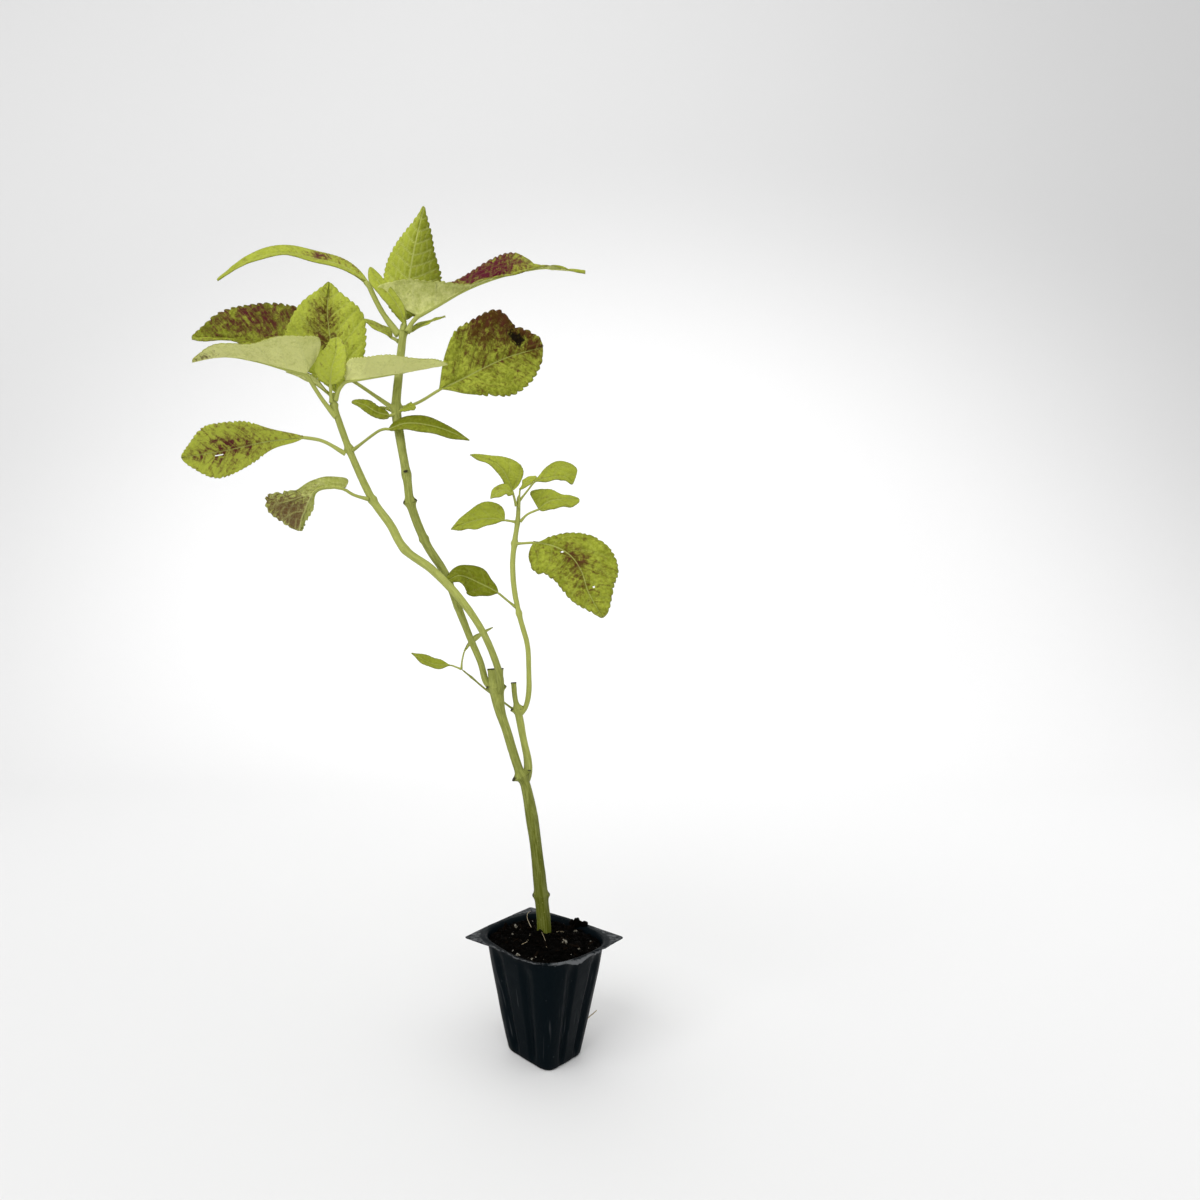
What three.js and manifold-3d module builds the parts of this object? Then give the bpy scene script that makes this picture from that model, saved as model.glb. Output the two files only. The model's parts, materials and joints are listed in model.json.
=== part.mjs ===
// A potted coleus cutting: several soft stems that fork from one foot, each carrying thin folded
// leaves, rooted in a black plastic cell cut from a plug tray.
// Millimetres, +Z up. The origin is the centre of the cell's flat base, and the plant leans to -X.
import * as THREE from "three";
import * as BufferGeometryUtils from "three/addons/utils/BufferGeometryUtils.js";
import Module from "manifold-3d";

const wasm = await Module();
wasm.setup();

// ---- Driving dimensions -----------------------------------------------------------------------

// Clear space between neighbouring solids.
const GAP = 0.35;

// The cell: a rounded square that widens upwards, turned so that a corner faces the front.
const CELL = {
  height: 54,
  baseHalfWidth: 13.4,
  rimHalfWidth: 24.3,
  baseSquareness: 5.2,
  rimSquareness: 3,
  wall: 1,
  floor: 1.2,
  footBevel: 2,
  turn: -6,
  sides: 72,
  levels: [20, 38],
};

// Eight upright grooves, one on each side of every corner ridge.
const GROOVE = { depth: 1.5, fromCorner: 25, halfSpan: 10 };

// The flat flange: what is left of the tray's web around the cell, one corner torn short.
const FLANGE = {
  halfDiagonal: 37,
  frontDiagonal: 32.5,
  thickness: 0.7,
  cornerRadius: 1.5,
  cornerBulge: 0.5,
};

// Four drainage slots through the foot of the wall, one under each face.
const DRAIN = { width: 6, height: 4, depth: 8, directions: [45, 135, 225, 315] };

// The compost: fills the cell up to rimZ and rises to moundZ around the stem, which stands in a
// hole. The lumps are soft waves on the surface, faded out towards the rim.
const SOIL = {
  rimZ: 52.6,
  moundZ: 55.6,
  lumpHeight: 0.5,
  lumpPitch: 12,
  stemHoleRadius: 3.9,
  stemHoleBottom: 49,
  stemHoleLength: 20,
  ringShares: [0.85, 0.6, 0.35, 0.12],
};

// Leaf blades and leaf stalks.
const BLADE_THICKNESS = 1;
const STALK_RADIUS = 0.75;
const BLADE_STATIONS = [0, 0.04, 0.12, 0.25, 0.42, 0.6, 0.78, 0.92, 1];
const STALK_STATIONS = [0, 0.5];
const BLADE_TIP_HALF_WIDTH = 0.35;

// ---- Materials --------------------------------------------------------------------------------

function finish(color, roughness, metalness = 0) {
  return { color, roughness, metalness };
}

const FINISH = {
  greenLeaf: finish(0x8a9a3c, 0.55),
  purpleLeaf: finish(0x6b5238, 0.6),
  stem: finish(0x8c8a4a, 0.5),
  cell: finish(0x12161a, 0.35),
  compost: finish(0x15100c, 0.95),
  perlite: finish(0xd8d4c4, 0.9),
  root: finish(0xcfc3a6, 0.8),
};

function material(look) {
  return new THREE.MeshStandardMaterial(look);
}

// ---- Small helpers ----------------------------------------------------------------------------

function vec(p) {
  return new THREE.Vector3(p[0], p[1], p[2]);
}

function radians(degrees) {
  return (degrees * Math.PI) / 180;
}

// Signed volume of an indexed geometry, used to turn a solid's faces outwards.
function signedVolume(positions, index) {
  const a = new THREE.Vector3();
  const b = new THREE.Vector3();
  const c = new THREE.Vector3();
  let volume = 0;
  for (let i = 0; i < index.length; i += 3) {
    a.fromArray(positions, 3 * index[i]);
    b.fromArray(positions, 3 * index[i + 1]);
    c.fromArray(positions, 3 * index[i + 2]);
    volume += a.dot(b.cross(c)) / 6;
  }
  return volume;
}

function solid(positions, index) {
  const inward = signedVolume(positions, index) < 0;
  const faces = [];
  for (let i = 0; i < index.length; i += 3) {
    faces.push(index[i], index[i + (inward ? 2 : 1)], index[i + (inward ? 1 : 2)]);
  }
  const geometry = new THREE.BufferGeometry();
  geometry.setAttribute("position", new THREE.Float32BufferAttribute(positions, 3));
  geometry.setIndex(faces);
  return geometry;
}

// One closed body through rings of equally many points, capped flat at both ends.
function loft(rings) {
  const sides = rings[0].length;
  const positions = rings.flat().flatMap((p) => [p.x, p.y, p.z]);
  const index = [];
  for (let k = 0; k + 1 < rings.length; k += 1) {
    for (let i = 0; i < sides; i += 1) {
      const j = (i + 1) % sides;
      const low = k * sides;
      const high = low + sides;
      index.push(low + i, low + j, high + j, low + i, high + j, high + i);
    }
  }
  const last = (rings.length - 1) * sides;
  for (let i = 1; i + 1 < sides; i += 1) {
    index.push(0, i + 1, i, last, last + i, last + i + 1);
  }
  return solid(positions, index);
}

// Join and cut.
function toManifold(geometry) {
  const bare = geometry.clone();
  bare.deleteAttribute("normal");
  bare.deleteAttribute("uv");
  const merged = BufferGeometryUtils.mergeVertices(bare, 1e-4);
  const vertProperties = new Float32Array(merged.attributes.position.array);
  const triVerts = new Uint32Array(merged.index.array);
  return new wasm.Manifold(new wasm.Mesh({ numProp: 3, vertProperties, triVerts }));
}

function fromManifold(body) {
  const mesh = body.getMesh();
  return solid(Array.from(mesh.vertProperties), Array.from(mesh.triVerts));
}

// ---- Stems ------------------------------------------------------------------------------------

// Every stem is a tapering rod along a smooth curve. Radii are spread evenly along its points.
const STEMS = {
  main_stem: {
    points: [
      [0, 1, 51], [0, 1, 60], [-1, 1, 70], [-3, 1, 90], [-6, 0, 111], [-9, 0, 126],
      [-12, 0, 133], [-15, 0, 142], [-18, 0, 152], [-21, 0, 161], [-22, 1, 171], [-23, 1, 181],
    ],
    radii: [3.2, 3.2, 3.1, 2.9, 2.7, 2.9, 2.3, 2.1, 2.1, 2.2, 2.9, 3.1],
    sides: 10,
  },
  tall_shoot: {
    points: [
      [-27.6, 3, 174], [-30, 3, 184], [-35, 4, 196], [-41, 3, 211], [-47, 0, 226], [-56, -7, 239],
      [-63, -14, 255], [-65, -17, 267], [-68, -15, 285], [-70, -12, 300], [-69, -10, 315],
      [-68, -8, 326], [-67, -8, 335],
    ],
    radii: [1.4, 1.5, 1.7, 1.9, 1.9, 1.9, 1.9, 1.9, 2, 2.1, 1.9, 1.7, 1.3],
    sides: 8,
  },
  pale_shoot: {
    points: [
      [-21, -4.8, 172], [-23, -7, 183], [-30, -9, 198], [-40, -8, 213], [-53, -5, 227],
      [-66, -3, 237], [-73, -1, 249], [-82, 0, 262], [-91, -3, 281], [-97, -6, 297], [-99, -8, 304],
    ],
    radii: [1.4, 1.5, 1.6, 1.8, 1.9, 1.9, 1.9, 1.8, 1.7, 1.6, 1.2],
    sides: 8,
  },
  side_branch: {
    points: [[-7, 4, 135], [-9, 6, 147], [-11, 8, 159], [-12.6, 8, 166], [-13.4, 8, 174]],
    radii: [1.8, 1.7, 1.8, 1.2, 1.1],
    sides: 8,
  },
  side_shoot: {
    points: [
      [-7.6, 8, 162], [-6, 8, 169], [-6, 8, 179], [-7, 6, 192], [-11, 3, 205], [-14, 1, 218],
      [-15, 0, 231], [-14, -1, 242], [-13, -3, 251], [-13, -5, 258],
    ],
    radii: [1.2, 1.2, 1.2, 1.2, 1.2, 1.2, 1.2, 1.2, 1.1, 0.9],
    sides: 8,
  },
  twig: {
    points: [[-13.6, 10.6, 161], [-19, 14, 165], [-26, 18, 170], [-33, 18, 176], [-38, 18, 180]],
    radii: [0.7, 0.6, 0.6, 0.6, 0.5],
    sides: 6,
  },
};

function curveOf(points) {
  return new THREE.CatmullRomCurve3(points.map(vec), false, "catmullrom", 0.5);
}

// Value at t on a list spread evenly over 0..1.
function spread(list, t) {
  const x = t * (list.length - 1);
  const i = Math.min(Math.floor(x), list.length - 2);
  return THREE.MathUtils.lerp(list[i], list[i + 1], x - i);
}

function rod({ points, radii, sides }) {
  const curve = curveOf(points);
  const steps = 2 * (points.length - 1);
  const frames = curve.computeFrenetFrames(steps, false);
  const rings = [];
  for (let k = 0; k <= steps; k += 1) {
    const centre = curve.getPointAt(k / steps);
    const radius = spread(radii, k / steps);
    const ring = [];
    for (let i = 0; i < sides; i += 1) {
      const angle = (2 * Math.PI * i) / sides;
      const out = frames.normals[k].clone().multiplyScalar(Math.cos(angle));
      out.addScaledVector(frames.binormals[k], Math.sin(angle));
      ring.push(centre.clone().addScaledVector(out, radius));
    }
    rings.push(ring);
  }
  return loft(rings);
}

// Points down the middle of every stem, with the radius there.
const STEM_SAMPLES = Object.values(STEMS).flatMap(({ points, radii }) => {
  const curve = curveOf(points);
  const count = 8 * points.length;
  return Array.from({ length: count + 1 }, (_, k) => ({
    centre: curve.getPointAt(k / count),
    radius: spread(radii, k / count),
  }));
});

function clearOfStems(point, halfThickness) {
  return STEM_SAMPLES.every(
    ({ centre, radius }) => centre.distanceTo(point) > radius + halfThickness + GAP,
  );
}

// ---- Leaves -----------------------------------------------------------------------------------

// A leaf is a thin strip of blade hung on its midrib.
//   stalk, rib   points along the leaf stalk and along the midrib, base to tip
//   face         the way the upper side looks, one direction or several spread along the rib
//   left, right  half widths at 7, 25, 50, 75 and 93 % of the rib, looking from base to tip with
//                the upper side up
//   foldLeft, foldRight  degrees that each half is folded up from flat, at the same places
//   heel         how far the lobes beside the base reach back, as a share of the width there
const LEAVES = {
  crown_leaf_upright: {
    stalk: [[-66, -6, 341], [-66, -5, 344]],
    rib: [[-66, -5, 344], [-65, 0, 360], [-62, 1, 379], [-59, 0, 392], [-57, -2, 399]],
    face: [[0, -1, 0]],
    left: [4, 10.5, 13.5, 8, 2.2],
    right: [4, 11, 15.5, 8.5, 2.5],
    fold: [12],
    look: "greenLeaf",
  },
  crown_leaf_small: {
    stalk: [[-67, -9, 337], [-66, -10, 340]],
    rib: [[-66, -10, 340], [-68, -12, 345], [-73, -13, 352], [-78, -12, 358], [-82, -10, 366]],
    face: [[-0.5, -0.7, 0.8]],
    left: [1.5, 2.5, 3.5, 3.5, 2],
    right: [1.5, 2.5, 2.5, 2.5, 1.2],
    fold: [20],
    look: "greenLeaf",
  },
  crown_leaf_right: {
    stalk: [[-65, -10, 336], [-63, -10, 340], [-60, -9, 344]],
    rib: [[-60, -9, 344], [-50, -8, 350], [-37, -6, 358], [-20, -4, 365], [1, 0, 371], [20, 2, 370]],
    face: [[0, 0, 1]],
    left: [6, 9, 16, 11, 3.5],
    right: [21, 16, 6, 5, 2],
    foldLeft: [55, 44, 72, 29, 22],
    foldRight: [78, 10, -14, -20, -20],
    heel: 0.55,
    look: "purpleLeaf",
  },
  crown_leaf_left: {
    stalk: [[-69, -7, 336], [-77, -8, 347], [-84, -8, 360]],
    rib: [
      [-84, -8, 360], [-95, -8, 367], [-107, -8, 370], [-122, -7, 374], [-138, -6, 370],
      [-154, -4, 363],
    ],
    face: [[0, 0, 1]],
    left: [3, 7, 8.5, 8, 3],
    right: [3, 7, 8.5, 8, 3],
    foldLeft: [-16],
    foldRight: [16],
    look: "purpleLeaf",
  },
  crown_leaflet_right: {
    stalk: [[-67, -7, 336], [-63, -5, 339]],
    rib: [[-63, -5, 339], [-57, -3, 343], [-47, -2, 347]],
    face: [[0, -0.4, 0.9]],
    left: [2, 5.5, 6.5, 5, 1.5],
    right: [2, 5.5, 6.5, 5, 1.5],
    fold: [4],
    look: "greenLeaf",
  },
  crown_leaflet_left: {
    stalk: [[-69, -5, 334], [-72, -2, 337]],
    rib: [[-72, -2, 337], [-80, 1, 344], [-92, 4, 350]],
    face: [[0, -0.4, 0.9]],
    left: [2, 5.5, 6.5, 5, 1.5],
    right: [2, 5.5, 6.5, 5, 1.5],
    fold: [4],
    look: "greenLeaf",
  },
  middle_leaf_right: {
    stalk: [[-69, -12, 300], [-60, -9, 304], [-50, -6, 311]],
    rib: [[-50, -6, 311], [-40, -5, 316], [-27, -4, 323], [-16, -3, 328], [-1, -1, 333]],
    face: [[0.1, -1, -0.1]],
    left: [6, 18, 22, 18, 8],
    right: [2, 8.5, 15.5, 17, 9],
    fold: [6],
    look: "greenLeaf",
  },
  middle_leaf_left: {
    stalk: [[-71, -9, 301], [-88, -5, 314], [-98, -1, 321]],
    rib: [[-98, -1, 321], [-116, 0, 329], [-134, 1, 335], [-150, 0, 337], [-166, -4, 336]],
    face: [[0, 0, 1]],
    left: [2, 4, 9, 10, 4],
    right: [12, 21.5, 21, 16, 5],
    foldLeft: [-28],
    foldRight: [88, 88, 86, 85, 80],
    look: "purpleLeaf",
  },
  bud_leaf_left: {
    stalk: [[-70, -14, 297], [-73, -15, 296]],
    rib: [[-73, -15, 296], [-79, -17, 297], [-84, -17, 300], [-90, -16, 302]],
    face: [[0, -0.8, 0.5]],
    left: [1, 3, 3, 2, 1],
    right: [1, 3, 3.5, 3, 1.5],
    fold: [8],
    look: "greenLeaf",
  },
  bud_leaf_back: {
    stalk: [[-70, -8, 299], [-71, -5, 301]],
    rib: [[-71, -5, 301], [-71, 3, 305], [-70, 9, 307]],
    face: [[0, 0.2, 1]],
    left: [3, 6, 7, 5, 2],
    right: [3, 6, 7, 5, 2],
    fold: [10],
    look: "greenLeaf",
  },
  bud_leaf_right: {
    stalk: [[-69, -13, 298], [-67, -15, 299]],
    rib: [[-67, -15, 299], [-64, -17, 299], [-61, -17, 299]],
    face: [[0, -0.7, 0.7]],
    left: [1, 2.5, 2.5, 2, 1],
    right: [1, 2.5, 2.5, 2, 1],
    fold: [8],
    look: "greenLeaf",
  },
  lower_leaf_right: {
    stalk: [[-91, -4, 283], [-78, -15, 289], [-73, -18, 289]],
    rib: [[-73, -18, 289], [-64, -20, 291], [-51, -20, 289], [-37, -18, 284]],
    face: [[0, -0.8, 0.5]],
    left: [2.5, 4.5, 4.5, 2.5, 1],
    right: [1, 3.5, 4, 3, 1.2],
    fold: [8],
    look: "greenLeaf",
  },
  lower_leaf_left: {
    stalk: [[-94, -3, 282], [-104, -6, 287], [-113, -9, 288]],
    rib: [[-113, -9, 288], [-130, -12, 285], [-147, -16, 280], [-166, -19, 276]],
    face: [[-0.1, -0.75, -0.55]],
    left: [2, 5, 10.5, 12, 6.5],
    right: [2, 6, 12, 13.5, 6],
    fold: [8],
    look: "purpleLeaf",
  },
  drooping_leaf: {
    stalk: [[-83, -1, 261], [-90, -1, 263], [-95, -1, 266]],
    rib: [
      [-95, -1, 266], [-102, 0, 267], [-107, 0, 266], [-110, 0, 264], [-112, 0, 260],
      [-114, 0, 255], [-115, -1, 252], [-116, -2, 246],
    ],
    face: [[0, 0.6, 0.8], [-0.1, 0.7, 0.6], [-0.3, 0.9, 0.2], [-0.3, 0.95, 0], [-0.3, 0.95, 0]],
    left: [6, 5, 6.5, 19, 7],
    right: [3, 4, 6, 7, 3],
    foldLeft: [8],
    foldRight: [60],
    heel: 0.9,
    look: "purpleLeaf",
  },
  pale_leaf_left: {
    stalk: [[-98, -7, 298], [-104, -10, 305], [-111, -13, 312]],
    rib: [[-111, -13, 312], [-120, -17, 315], [-132, -22, 317], [-145, -27, 317], [-158, -29, 315]],
    face: [[0, 0, 1]],
    left: [19, 19, 14.5, 11, 5],
    right: [8, 11, 12, 10, 4],
    foldLeft: [56, 34, 13, 4, 20],
    foldRight: [24],
    heel: 0.25,
    look: "purpleLeaf",
  },
  pale_leaf_upright: {
    stalk: [[-99, -7, 304], [-98, -6, 310]],
    rib: [[-98, -6, 310], [-100, -6, 329], [-102, -7, 346], [-101, -8, 360]],
    face: [[0, -1, -0.1]],
    left: [4, 14, 21, 14, 4],
    right: [4, 13.5, 17, 15, 4.5],
    fold: [8],
    look: "purpleLeaf",
  },
  pale_leaf_right: {
    stalk: [[-98, -9, 305], [-96, -12, 309], [-93, -14, 312]],
    rib: [[-93, -14, 312], [-82, -18, 312], [-66, -22, 313], [-47, -21, 317]],
    face: [[0, 0, 1]],
    left: [5, 8, 8, 6, 3],
    right: [8, 11, 11, 8, 3],
    foldLeft: [22],
    foldRight: [50, 31, 21, 11, 10],
    look: "greenLeaf",
  },
  pale_leaf_back: {
    stalk: [[-99, -6, 303], [-101, -2, 310]],
    rib: [[-101, -2, 310], [-110, 1, 317], [-123, 3, 323]],
    face: [[0, 0.1, 1]],
    left: [1.5, 5, 6, 5, 2],
    right: [1.5, 5, 6, 5, 2],
    fold: [15],
    look: "greenLeaf",
  },
  pale_leaf_small: {
    stalk: [[-100, -9, 304], [-100, -13, 311]],
    rib: [[-100, -13, 311], [-99, -16, 317], [-97, -17, 324], [-97, -16, 331]],
    face: [[0, -1, 0.2]],
    left: [1.5, 4, 5, 3.8, 2.5],
    right: [1.5, 2.5, 3.2, 4.2, 2.6],
    fold: [12],
    look: "greenLeaf",
  },
  tip_leaf_left: {
    stalk: [[-14, -5, 257], [-16, -6, 264]],
    rib: [[-16, -6, 264], [-19, -8, 270], [-22, -9, 274], [-27, -10, 277], [-36, -9, 280]],
    face: [[0, -0.7, 0.5]],
    left: [1.5, 3.5, 4, 3, 1],
    right: [5, 9.5, 5.5, 2.2, 1],
    fold: [10],
    look: "greenLeaf",
  },
  tip_leaf_small: {
    stalk: [[-14, -6, 257], [-16, -9, 262]],
    rib: [[-16, -9, 262], [-21, -11, 263], [-27, -13, 259]],
    face: [[-0.2, -0.8, 0.5]],
    left: [1, 2.5, 3, 2.5, 1],
    right: [1, 2.5, 3, 2.5, 1],
    fold: [10],
    look: "greenLeaf",
  },
  tip_leaf_right: {
    stalk: [[-13, -5, 259], [-9, -6, 264], [-6, -7, 268]],
    rib: [[-6, -7, 268], [1, -6, 270], [8, -4, 271], [13, -3, 268]],
    face: [[0, -0.8, 0.5]],
    left: [1.5, 4.5, 7, 7.2, 4],
    right: [1, 2.5, 3.8, 3.5, 1.8],
    fold: [5],
    look: "greenLeaf",
  },
  tip_leaf_centre: {
    stalk: [[-13, -6, 256], [-13, -9, 264]],
    rib: [[-13, -9, 264], [-11, -12, 266], [-6, -13, 269]],
    face: [[0, -0.7, 0.6]],
    left: [1, 2.5, 2.5, 2, 1],
    right: [1, 3, 3, 2, 1],
    fold: [10],
    look: "greenLeaf",
  },
  side_leaf_right: {
    stalk: [[-12, -4, 250], [-9, -6, 253], [-4, -8, 255]],
    rib: [[-4, -8, 255], [0, -10, 258], [6, -11, 259], [14, -11, 259]],
    face: [[0.1, -0.7, 0.6]],
    left: [9, 8, 4, 2, 1],
    right: [3, 6, 7, 6.5, 4],
    fold: [8],
    look: "greenLeaf",
  },
  side_leaf_left: {
    stalk: [[-14, -3, 250], [-19, -2, 251]],
    rib: [[-19, -2, 251], [-27, 0, 252], [-35, 3, 251], [-44, 6, 248]],
    face: [[0, -0.7, 0.55]],
    left: [1, 6, 7, 4.5, 1.5],
    right: [5, 8.5, 8, 3.7, 1.4],
    fold: [8],
    look: "greenLeaf",
  },
  broad_leaf: {
    stalk: [[-14, -1, 240], [-6, -5, 240]],
    rib: [[-6, -5, 240], [2, -9, 238], [9, -14, 233], [13, -19, 225], [15, -24, 215], [20, -28, 204]],
    face: [[-0.1, -0.9, 0.3]],
    left: [1, 9, 16, 12, 5.5],
    right: [13, 17.5, 15, 9, 3],
    fold: [6],
    heel: 0.25,
    look: "greenLeaf",
  },
  folded_leaf: {
    stalk: [[-13, 2, 210], [-17, 1, 213], [-22, 0, 217]],
    rib: [[-22, 0, 217], [-26, 1, 224], [-31, 1, 227], [-37, 0, 228], [-42, -2, 226], [-47, -3, 222]],
    face: [[0, -0.8, 0.4]],
    left: [7, 13, 6, 3, 1],
    right: [1.5, 2.5, 2, 1.5, 1],
    fold: [6],
    look: "greenLeaf",
  },
  twig_leaf_left: {
    stalk: [[-38, 18, 180], [-43, 18, 182]],
    rib: [[-43, 18, 182], [-50, 18, 182], [-56, 18, 184], [-63, 18, 188]],
    face: [[0, -0.5, 0.8]],
    left: [1, 4, 4.5, 3.5, 1],
    right: [1, 4, 4.5, 3.5, 1],
    fold: [12],
    look: "greenLeaf",
  },
  twig_leaf_right: {
    stalk: [[-38, 18, 180], [-37, 20, 184]],
    rib: [[-37, 20, 184], [-32, 22, 190], [-27, 22, 196], [-22, 20, 201]],
    face: [[0.4, 0.8, 0.5]],
    left: [1, 4, 5, 4, 1],
    right: [1, 4, 5, 4, 1],
    fold: [12],
    look: "greenLeaf",
  },
};

// Smooth value at t through numbers given at 0, 7, 25, 50, 75, 93 and 100 % of the rib.
function atStation(values, t) {
  const angle = Math.acos(1 - 2 * t) / Math.PI;
  const curve = new THREE.CatmullRomCurve3(
    values.map((value) => new THREE.Vector3(value, 0, 0)),
    false,
    "catmullrom",
    0.5,
  );
  return curve.getPoint(angle).x;
}

function widthAt(list, t) {
  return Math.max(atStation([0, ...list, 0], t), 0);
}

function foldAt(list, t) {
  const five = list.length === 1 ? Array(5).fill(list[0]) : list;
  return radians(atStation([five[0], ...five, five[4]], t));
}

function faceAt(list, t) {
  if (list.length === 1) {
    return vec(list[0]);
  }
  return new THREE.Vector3(
    spread(list.map((f) => f[0]), t),
    spread(list.map((f) => f[1]), t),
    spread(list.map((f) => f[2]), t),
  );
}

// Axes at one place of a leaf: along the rib, out to the right half, and up from the blade.
function leafAxes(tangent, face) {
  const right = new THREE.Vector3().crossVectors(tangent, face).normalize();
  const up = new THREE.Vector3().crossVectors(right, tangent).normalize();
  return { right, up };
}

// The closed ring of points around the blade at one place.
function bladeRing({ centre, right, up, tangent, halves, thickness, heel }) {
  const top = [];
  const bottom = [];
  for (const side of [-1, -0.5, 0, 0.5, 1]) {
    const { width, fold } = side < 0 ? halves.left : halves.right;
    const sign = Math.sign(side);
    const reach = width * Math.abs(side);
    const point = centre.clone();
    point.addScaledVector(right, sign * reach * Math.cos(fold));
    point.addScaledVector(up, reach * Math.sin(fold));
    point.addScaledVector(tangent, -heel * reach);
    const normal = up.clone().multiplyScalar(Math.cos(side === 0 ? 0 : fold));
    normal.addScaledVector(right, -sign * Math.sin(side === 0 ? 0 : fold));
    top.push(point.clone().addScaledVector(normal, thickness / 2));
    bottom.unshift(point.clone().addScaledVector(normal, -thickness / 2));
  }
  return [...top, ...bottom];
}

function stalkStart(curve) {
  const steps = 40;
  for (let k = 0; k < steps; k += 1) {
    if (clearOfStems(curve.getPointAt(k / steps), STALK_RADIUS)) {
      return k / steps;
    }
  }
  throw new Error("a leaf stalk never leaves its stem");
}

function leafSolid(leaf) {
  const foldLeft = leaf.foldLeft ?? leaf.fold;
  const foldRight = leaf.foldRight ?? leaf.fold;
  const heel = leaf.heel ?? 0;
  const rings = [];

  const stalk = curveOf(leaf.stalk);
  const start = stalkStart(stalk);
  const stalkHalf = { width: STALK_RADIUS, fold: 0 };
  for (const s of STALK_STATIONS) {
    const t = THREE.MathUtils.lerp(start, 1, s);
    const tangent = stalk.getTangentAt(t);
    const axes = leafAxes(tangent, faceAt(leaf.face, 0));
    rings.push(bladeRing({
      centre: stalk.getPointAt(t),
      ...axes,
      tangent,
      halves: { left: stalkHalf, right: stalkHalf },
      thickness: 2 * STALK_RADIUS,
      heel: 0,
    }));
  }

  const rib = curveOf(leaf.rib);
  for (const t of BLADE_STATIONS) {
    const tangent = rib.getTangentAt(t);
    const axes = leafAxes(tangent, faceAt(leaf.face, t));
    const least = t < 0.5 ? STALK_RADIUS : BLADE_TIP_HALF_WIDTH;
    rings.push(bladeRing({
      centre: rib.getPointAt(t),
      ...axes,
      tangent,
      halves: {
        left: { width: Math.max(widthAt(leaf.left, t), least), fold: foldAt(foldLeft, t) },
        right: { width: Math.max(widthAt(leaf.right, t), least), fold: foldAt(foldRight, t) },
      },
      thickness: BLADE_THICKNESS,
      heel: heel * (1 - t) ** 3,
    }));
  }
  return loft(rings);
}

// ---- Cell and compost -------------------------------------------------------------------------

// How deep a groove is at an angle counted from the nearest corner of the cell.
function grooveDepth(degrees) {
  const fromCorner = Math.abs(((degrees + 45 + 360) % 90) - 45);
  const off = Math.abs(fromCorner - GROOVE.fromCorner) / GROOVE.halfSpan;
  return off < 1 ? GROOVE.depth * Math.cos((off * Math.PI) / 2) ** 2 : 0;
}

// Outline of the cell's wall at height z, moved inwards by inset.
function cellRing(z, inset) {
  const share = z / CELL.height;
  const halfWidth = THREE.MathUtils.lerp(CELL.baseHalfWidth, CELL.rimHalfWidth, share);
  const power = THREE.MathUtils.lerp(CELL.baseSquareness, CELL.rimSquareness, share);
  const ring = [];
  for (let i = 0; i < CELL.sides; i += 1) {
    const degrees = (360 * i) / CELL.sides;
    const across = Math.abs(Math.cos(radians(degrees - 45))) ** power;
    const along = Math.abs(Math.sin(radians(degrees - 45))) ** power;
    const radius = halfWidth / (across + along) ** (1 / power) - grooveDepth(degrees) - inset;
    const angle = radians(degrees + CELL.turn);
    ring.push(new THREE.Vector3(radius * Math.cos(angle), radius * Math.sin(angle), z));
  }
  return ring;
}

function flangeSolid() {
  const tip = FLANGE.halfDiagonal;
  const front = FLANGE.frontDiagonal;
  const corner = FLANGE.cornerRadius;
  const outline = new THREE.Shape();
  outline.moveTo(tip, -corner);
  outline.quadraticCurveTo(tip + FLANGE.cornerBulge, 0, tip, corner);
  outline.lineTo(corner, tip);
  outline.quadraticCurveTo(0, tip + FLANGE.cornerBulge, -corner, tip);
  outline.lineTo(-tip, corner);
  outline.quadraticCurveTo(-tip - FLANGE.cornerBulge, 0, -tip, -corner);
  outline.lineTo(front - tip, -front);
  outline.lineTo(tip - front, -front);
  outline.closePath();
  const plate = new THREE.ExtrudeGeometry(outline, {
    depth: FLANGE.thickness,
    bevelEnabled: false,
    curveSegments: 3,
  });
  plate.translate(0, 0, CELL.height - FLANGE.thickness);
  return plate;
}

function drainSlots() {
  return DRAIN.directions.map((degrees) => {
    const box = new THREE.BoxGeometry(DRAIN.depth, DRAIN.width, 2 * DRAIN.height);
    box.translate(CELL.baseHalfWidth, 0, 0);
    box.rotateZ(radians(degrees + CELL.turn));
    return box;
  });
}

function cellSolid() {
  const heights = [CELL.footBevel, ...CELL.levels, CELL.height];
  const outside = loft([cellRing(0, CELL.footBevel), ...heights.map((z) => cellRing(z, 0))]);
  const inside = loft([
    cellRing(CELL.floor, CELL.footBevel + CELL.wall),
    ...heights.slice(0, -1).map((z) => cellRing(z + CELL.floor, CELL.wall)),
    cellRing(CELL.height + 1, CELL.wall),
  ]);
  let body = toManifold(outside).add(toManifold(flangeSolid())).subtract(toManifold(inside));
  for (const slot of drainSlots()) {
    body = body.subtract(toManifold(slot));
  }
  return fromManifold(body);
}

// Height of the compost at a distance from the middle: a low mound with soft lumps.
function soilHeight(x, y) {
  const distance = Math.hypot(x, y);
  const share = THREE.MathUtils.clamp(1 - distance / (CELL.rimHalfWidth - CELL.wall), 0, 1);
  const wave = (2 * Math.PI) / SOIL.lumpPitch;
  const lumps = SOIL.lumpHeight * Math.sin(wave * x + 1) * Math.cos(wave * y + 2) * share;
  return SOIL.rimZ + (SOIL.moundZ - SOIL.rimZ) * Math.sqrt(share) + lumps;
}

// Perlite grains lie half sunk in the compost: place on the surface and radius.
const GRAIN_SHAPE = { alongY: 0.85, alongZ: 0.8, standsOut: 0.4 };
const GRAINS = [
  [-15, -16, 1.3], [-9, -19, 1], [8, -8, 1.6], [14, -12, 1.2], [4, 12, 1.3], [-12, 11, 1.5],
  [17, 9, 1.2], [-3, 18, 1],
];

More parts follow.
